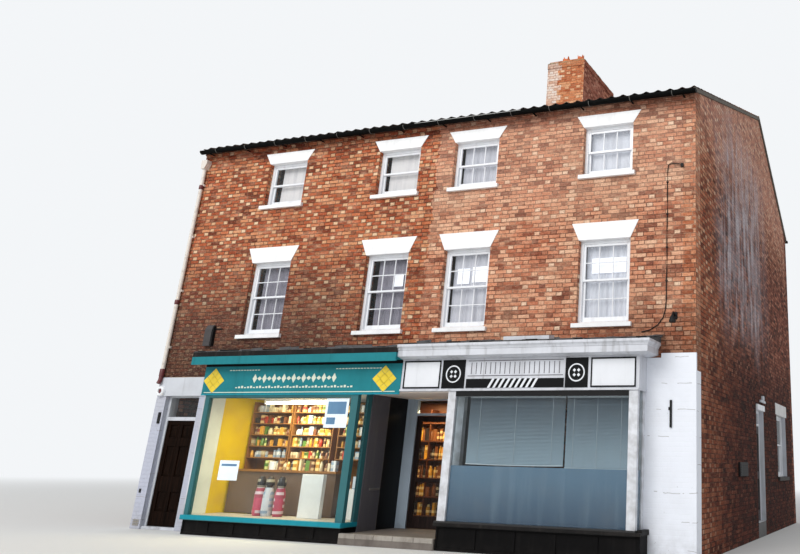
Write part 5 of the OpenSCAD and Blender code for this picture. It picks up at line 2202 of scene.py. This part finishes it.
@dataclass
class Fittings:
    """Small things fixed to the walls."""

    vent: Pair = (0.115, 2.62)
    party_x: float = 6.1
    pipe: Pair = (0.06, -0.055)
    gutter_y: float = -0.17
    gutter_z: float = 7.894
    gutter_radius: float = 0.072
    strap_pitch: float = 0.82
    straps: int = 14

    def build(self) -> None:
        """Builds vents, bell, lamp, iron, conduit, boxes and flashing."""
        self.left_pier()
        self.upper_wall()
        self.lamp()
        self.conduit()
        self.gable()
        self.flashing()
        self.rainwater()

    def left_pier(self) -> None:
        """Builds the round vent, the bell and the foot vent of the left pier."""
        shape = Shape()
        x, z = self.vent

        def rings(*steps: Pair) -> List[Ring]:
            """Gives rings about the vent's centre, each by its radius and depth."""
            return [[(x + radius * c, y, z + radius * s) for c, s in circle(28)] for radius, y in steps]

        hood = ((0.105, -0.001), (0.105, -0.05), (0.085, -0.075), (0.055, -0.078), (0.05, -0.05))
        shape.sweep(rings(*hood), True)
        shape.use(1).sweep(rings((0.049, -0.045), (0.044, -0.058), (0.02, -0.064)), True)
        shape.use(2).boxes((0.06, 0.1, -0.018, 0.0, 0.66, 0.73), (0.15, 0.21, -0.02, 0.0, 1.98, 2.2))
        shape.use(3).boxes(*((0.06, 0.21, -0.012, 0.0, 0.06 + i * 0.03, 0.075 + i * 0.03) for i in range(4)))
        shape.build("left_pier_fittings", (WHITE_GLOSS, PIPE_SHOE, IRON, MORTAR), "white_paint")

    def upper_wall(self) -> None:
        """Builds the vent box with its bracket and the iron of the right-hand pier."""
        shape = Shape()
        shape.along_x((1.02, 1.2), [(0.0, 3.52), (-0.08, 3.52), (-0.08, 3.86), (-0.03, 3.95), (0.0, 3.95)])
        shape.use(1).boxes((1.2, 1.23, -0.07, 0.0, 3.52, 3.92), (1.23, 1.4, -0.02, 0.0, 3.86, 3.88))
        shape.build("wall_vent_box", (VENT_GREY, IRON), "gutter_iron")
        iron = Shape().boxes(
            (11.07, 11.105, -0.052, -0.026, 1.99, 2.42), (11.045, 11.07, -0.04, -0.026, 2.26, 2.31),
        )
        iron.build("pier_iron", (IRON,), "gutter_iron", bevel=0.003)

    def lamp(self) -> None:
        """Builds the small lamp on the wall."""
        x = 11.14
        shape = Shape().boxes((x - 0.04, x + 0.04, -0.03, 0.0, 3.74, 3.86))
        shape.rod([(x, -0.02, 3.8), (x, -0.12, 3.84), (x, -0.16, 3.78)], 0.016, 10)
        shape.lathe((x, -0.17, 3.66), ((0.055, 0.0), (0.06, 0.03), (0.035, 0.1), (0.015, 0.13)), 14)
        shape.build("wall_lamp", (IRON,), "gutter_iron")

    def conduit(self) -> None:
        """Builds the conduit clipped to the wall, from its box down to the right cornice."""
        shape = Shape()
        path = [
            (11.26, -0.03, 6.5), (11.24, -0.034, 6.515), (11.06, -0.022, 6.56), (11.0, -0.014, 6.53),
            (10.985, -0.012, 6.42),
        ]
        path += [(10.985 - 0.004 * math.sin(i * 1.7), -0.012, 6.42 - i * 0.26) for i in range(1, 10)]
        bend = ((10.965, 3.9), (10.93, 3.78), (10.84, 3.66), (10.7, 3.575), (10.55, 3.545))
        path += [(x, -0.012, z) for x, z in bend]
        shape.rod(path, 0.009, 8)
        shape.boxes(*((10.965, 11.005, -0.024, 0.0, z, z + 0.015) for z in (6.2, 5.6, 5.0, 4.4)))
        shape.boxes((11.235, 11.285, -0.045, 0.0, 6.47, 6.53))
        shape.build("wall_conduit", (IRON,), "gutter_iron")

    def gable(self) -> None:
        """Builds the vent box, the small bracket and the thin lines of the gable."""
        wall = 11.5
        shape = Shape().boxes((wall, 11.545, 3.2, 3.98, 1.24, 1.5))
        for z in (1.26 + i * 0.045 for i in range(5)):
            shape.box((11.545, 11.552), (3.25, 3.93), (z, z + 0.02))
        shape.use(1).boxes(
            (wall, 11.54, 5.68, 6.24, 2.81, 2.86), (wall, 11.552, 5.9, 6.02, 2.83, 2.96),
            (11.4, 11.503, 6.085, 6.093, 0.302, 2.62), (11.4, 11.503, 9.342, 9.35, 1.192, 2.668),
        )
        shape.build("gable_fittings", (IRON, WHITE_SHADE), "gutter_iron", bevel=0.003)

    def flashing(self) -> None:
        """Dresses the ragged lead where the cornices meet the wall."""
        dice = random.Random(3)
        shape = Shape()
        x, end = 1.4, 10.92
        while x < end - 0.04:
            wide = min(dice.uniform(0.1, 0.34), end - x)
            base = 3.4 if x < self.party_x else 3.446
            high = base + 0.022 + dice.uniform(0.0, 0.034)
            lift = dice.uniform(0.004, 0.014)
            tip = high + dice.uniform(-0.02, 0.02)
            shape.sweep([
                [(a, 0.0, base), (a, -lift, base), (a, -lift, top), (a, 0.0, high)]
                for a, top in ((x, high), (x + wide, tip))
            ])
            x += wide
        flap = ((-0.64, 0.0), (-0.05, 0.09), (-0.05, 0.084), (-0.64, -0.006))
        shape.sweep([
            [(a, lean + y, z + up) for y, up in flap]
            for a, z, lean in ((10.7, 3.352, 0.0), (10.86, 3.362, 0.01), (10.97, 3.4, 0.04))
        ])
        # Ragged black strips on the cornice fronts: dark flashing, and partly painted shadow under the lead.
        shape.use(1)
        x = 1.45
        while x < 10.85:
            wide = dice.uniform(0.05, 0.24)
            foot = 3.305 if x < self.party_x else 3.346
            high = foot + 0.01 + 0.03 * dice.random() ** 2
            shape.box((x, x + wide), (-0.632, -0.59), (foot, high))
            x += wide + (dice.uniform(0.02, 0.12) if dice.random() < 0.3 else 0.0)
        shape.build("cornice_flashing", (LEAD, BLACK_LEDGE), "teal_paint")
        board = Shape()
        board.along_x((8.15, 9.02), [(-0.42, 3.405), (-0.2, 3.44), (-0.2, 3.5), (-0.42, 3.47)])
        board.build("cornice_board", (WHITE_DIRTY,), "white_paint", bevel=0.004)

    def rainwater(self) -> None:
        """Builds the pale lip on one gutter length, the gutter straps and the pipe's shoe and sockets."""
        lip = Shape()
        lip.rod([(5.65, -0.236, 7.892), (8.05, -0.236, 7.892)], 0.007, 8)
        lip.build("gutter_pale_lip", (GUTTER_LIP,), "gutter_iron")
        straps = Shape()
        arc = [(self.gutter_radius * c, self.gutter_radius * s) for c, s in circle(16)[:9]]
        for x in (0.45 + i * self.strap_pitch for i in range(self.straps)):
            path = [(x, self.gutter_y - across, self.gutter_z - down) for across, down in arc]
            for ends in zip(path, path[1:]):
                straps.rod(ends, 0.006, 6)
            straps.rod([(x, -0.102, 7.885), (x, -0.062, 7.862)], 0.008, 6)
        straps.build("gutter_straps", (STRAP,), "gutter_iron")
        shoe = Shape().use(1)
        shoe.lathe((*self.pipe, 2.92), ((0.049, 0.0), (0.049, 0.14), (0.041, 0.15)), 20)
        for z in (4.42, 7.02):
            shoe.lathe((*self.pipe, z), ((0.04, 0.0), (0.047, 0.01), (0.047, 0.09), (0.04, 0.1)), 20)
        shoe.rod([(*self.pipe, 2.93), (0.06, -0.06, 2.84), (0.055, -0.085, 2.77)], 0.042, 18)
        shoe.build("downpipe_shoe", (PIPE, PIPE_SHOE), "pipe_paint")


@dataclass
class Studio:
    """Floor, light and camera. The camera's measures are in pixels of the photograph, or in millimetres."""

    width: float = 800.0
    half: Pair = (400.0, 277.0)
    centre: Pair = (636.0, 189.254)
    focal: float = 796.995
    sensor: float = 36.0
    place: Triple = (14.87786, -12.89652, 1.43199)
    turn: Triple = (108.97557, -1.29113, 18.75991)
    sky: float = 0.66
    sky_colour: Triple = (0.96, 0.98, 1.0)
    floor_radius: float = 160.0

    def build(self) -> None:
        """Sets up the world, the lamps, the floor and the camera."""
        scene = bpy.context.scene
        scene.view_settings.view_transform = "Standard"
        self.world(scene)
        self.floor()
        self.lamps()
        self.camera(scene)

    def world(self, scene: bpy.types.Scene) -> None:
        """Lights the scene evenly and shows a pale background.

        Args:
            scene: The scene that gets the world.
        """
        world = bpy.data.worlds.new("studio")
        scene.world = world
        world.use_nodes = True
        g = Graph(world.node_tree)
        path = g.node("ShaderNodeLightPath", {}, {}, "Is Camera Ray")
        outputs = path.socket.node.outputs
        seen = path.most(Signal(g, outputs["Is Glossy Ray"])).most(Signal(g, outputs["Is Transmission Ray"]))
        light = g.node("ShaderNodeBackground", {}, {"Color": self.sky_colour, "Strength": self.sky})
        shown = g.node("ShaderNodeBackground", {}, {"Color": BACKGROUND, "Strength": 1.0})
        both = g.node("ShaderNodeMixShader", {}, {0: seen, 1: light, 2: shown})
        output = g.tree.nodes.new("ShaderNodeOutputWorld")
        g.tree.links.new(both.socket, output.inputs["Surface"])

    def floor(self) -> None:
        """Lays a plain pale floor."""
        mesh = bpy.data.meshes.new("floor")
        ring = [(self.floor_radius * c, self.floor_radius * s, -0.002) for c, s in circle(64)]
        mesh.from_pydata(ring, [], [tuple(range(64))])
        floor = bpy.data.objects.new("floor", mesh)
        bpy.context.scene.collection.objects.link(floor)
        mesh.materials.append(PaleFloor("floor_pale").material())

    def lamps(self) -> None:
        """Sets one large soft lamp before the building and small warm ones inside the shop."""
        origin = street_corner()
        key = origin + Vector((-1.0, -39.5, 30.0))
        self.area("key", key, origin + Vector((5.8, 0.4, 4.0)), 28.0, 14400.0, (1.0, 0.98, 0.95))
        for name, x, y, power, colour in (
            ("shop", 3.4, 0.1, 58.0, (1.0, 0.85, 0.52)), ("shop_rear", 5.4, 1.66, 44.0, (1.0, 0.68, 0.32)),
        ):
            spot = origin + Vector((x, y, 2.4))
            self.area(name, spot, Vector((spot.x, spot.y + 0.35, 0.5)), 0.9, power, colour)

    def area(
        self, name: str, place: Vector, target: Vector, size: float, power: float, colour: Triple
    ) -> None:
        """Adds one square lamp.

        Args:
            name: Its name.
            place: Where it stands.
            target: The point it faces.
            size: Its side.
            power: Its power.
            colour: Its colour.
        """
        data = bpy.data.lights.new(name, "AREA")
        data.size = size
        data.energy = power
        data.color = colour
        lamp = bpy.data.objects.new(name, data)
        lamp.location = place
        lamp.rotation_mode = "QUATERNION"
        lamp.rotation_quaternion = (target - place).to_track_quat("-Z", "Y")
        bpy.context.scene.collection.objects.link(lamp)

    def camera(self, scene: bpy.types.Scene) -> None:
        """Sets the camera at the photograph's viewing angle.

        Args:
            scene: The scene that gets the camera.
        """
        data = bpy.data.cameras.new("camera")
        data.sensor_width = self.sensor
        data.lens = self.focal / self.width * self.sensor
        data.shift_x = (self.half[0] - self.centre[0]) / self.width
        data.shift_y = (self.centre[1] - self.half[1]) / self.width
        data.clip_start, data.clip_end = 0.1, 500.0
        camera = bpy.data.objects.new("camera", data)
        camera.location = street_corner() + Vector(self.place)
        camera.rotation_mode = "XYZ"
        camera.rotation_euler = tuple(math.radians(a) for a in self.turn)
        scene.collection.objects.link(camera)
        scene.camera = camera


def main() -> None:
    """Builds every sub-assembly in order."""
    logging.basicConfig(level=logging.INFO, format="%(message)s")
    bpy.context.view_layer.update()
    for part in (
        Studio(), Roof(), StackTop(), Windows(), Doors(), LeftShop(), RightShop(), Lobby(), ShopInterior(),
        Fittings(),
    ):
        LOG.info("building %s", type(part).__name__)
        part.build()
    Shell().dress()


if __name__ == "__main__":
    main()
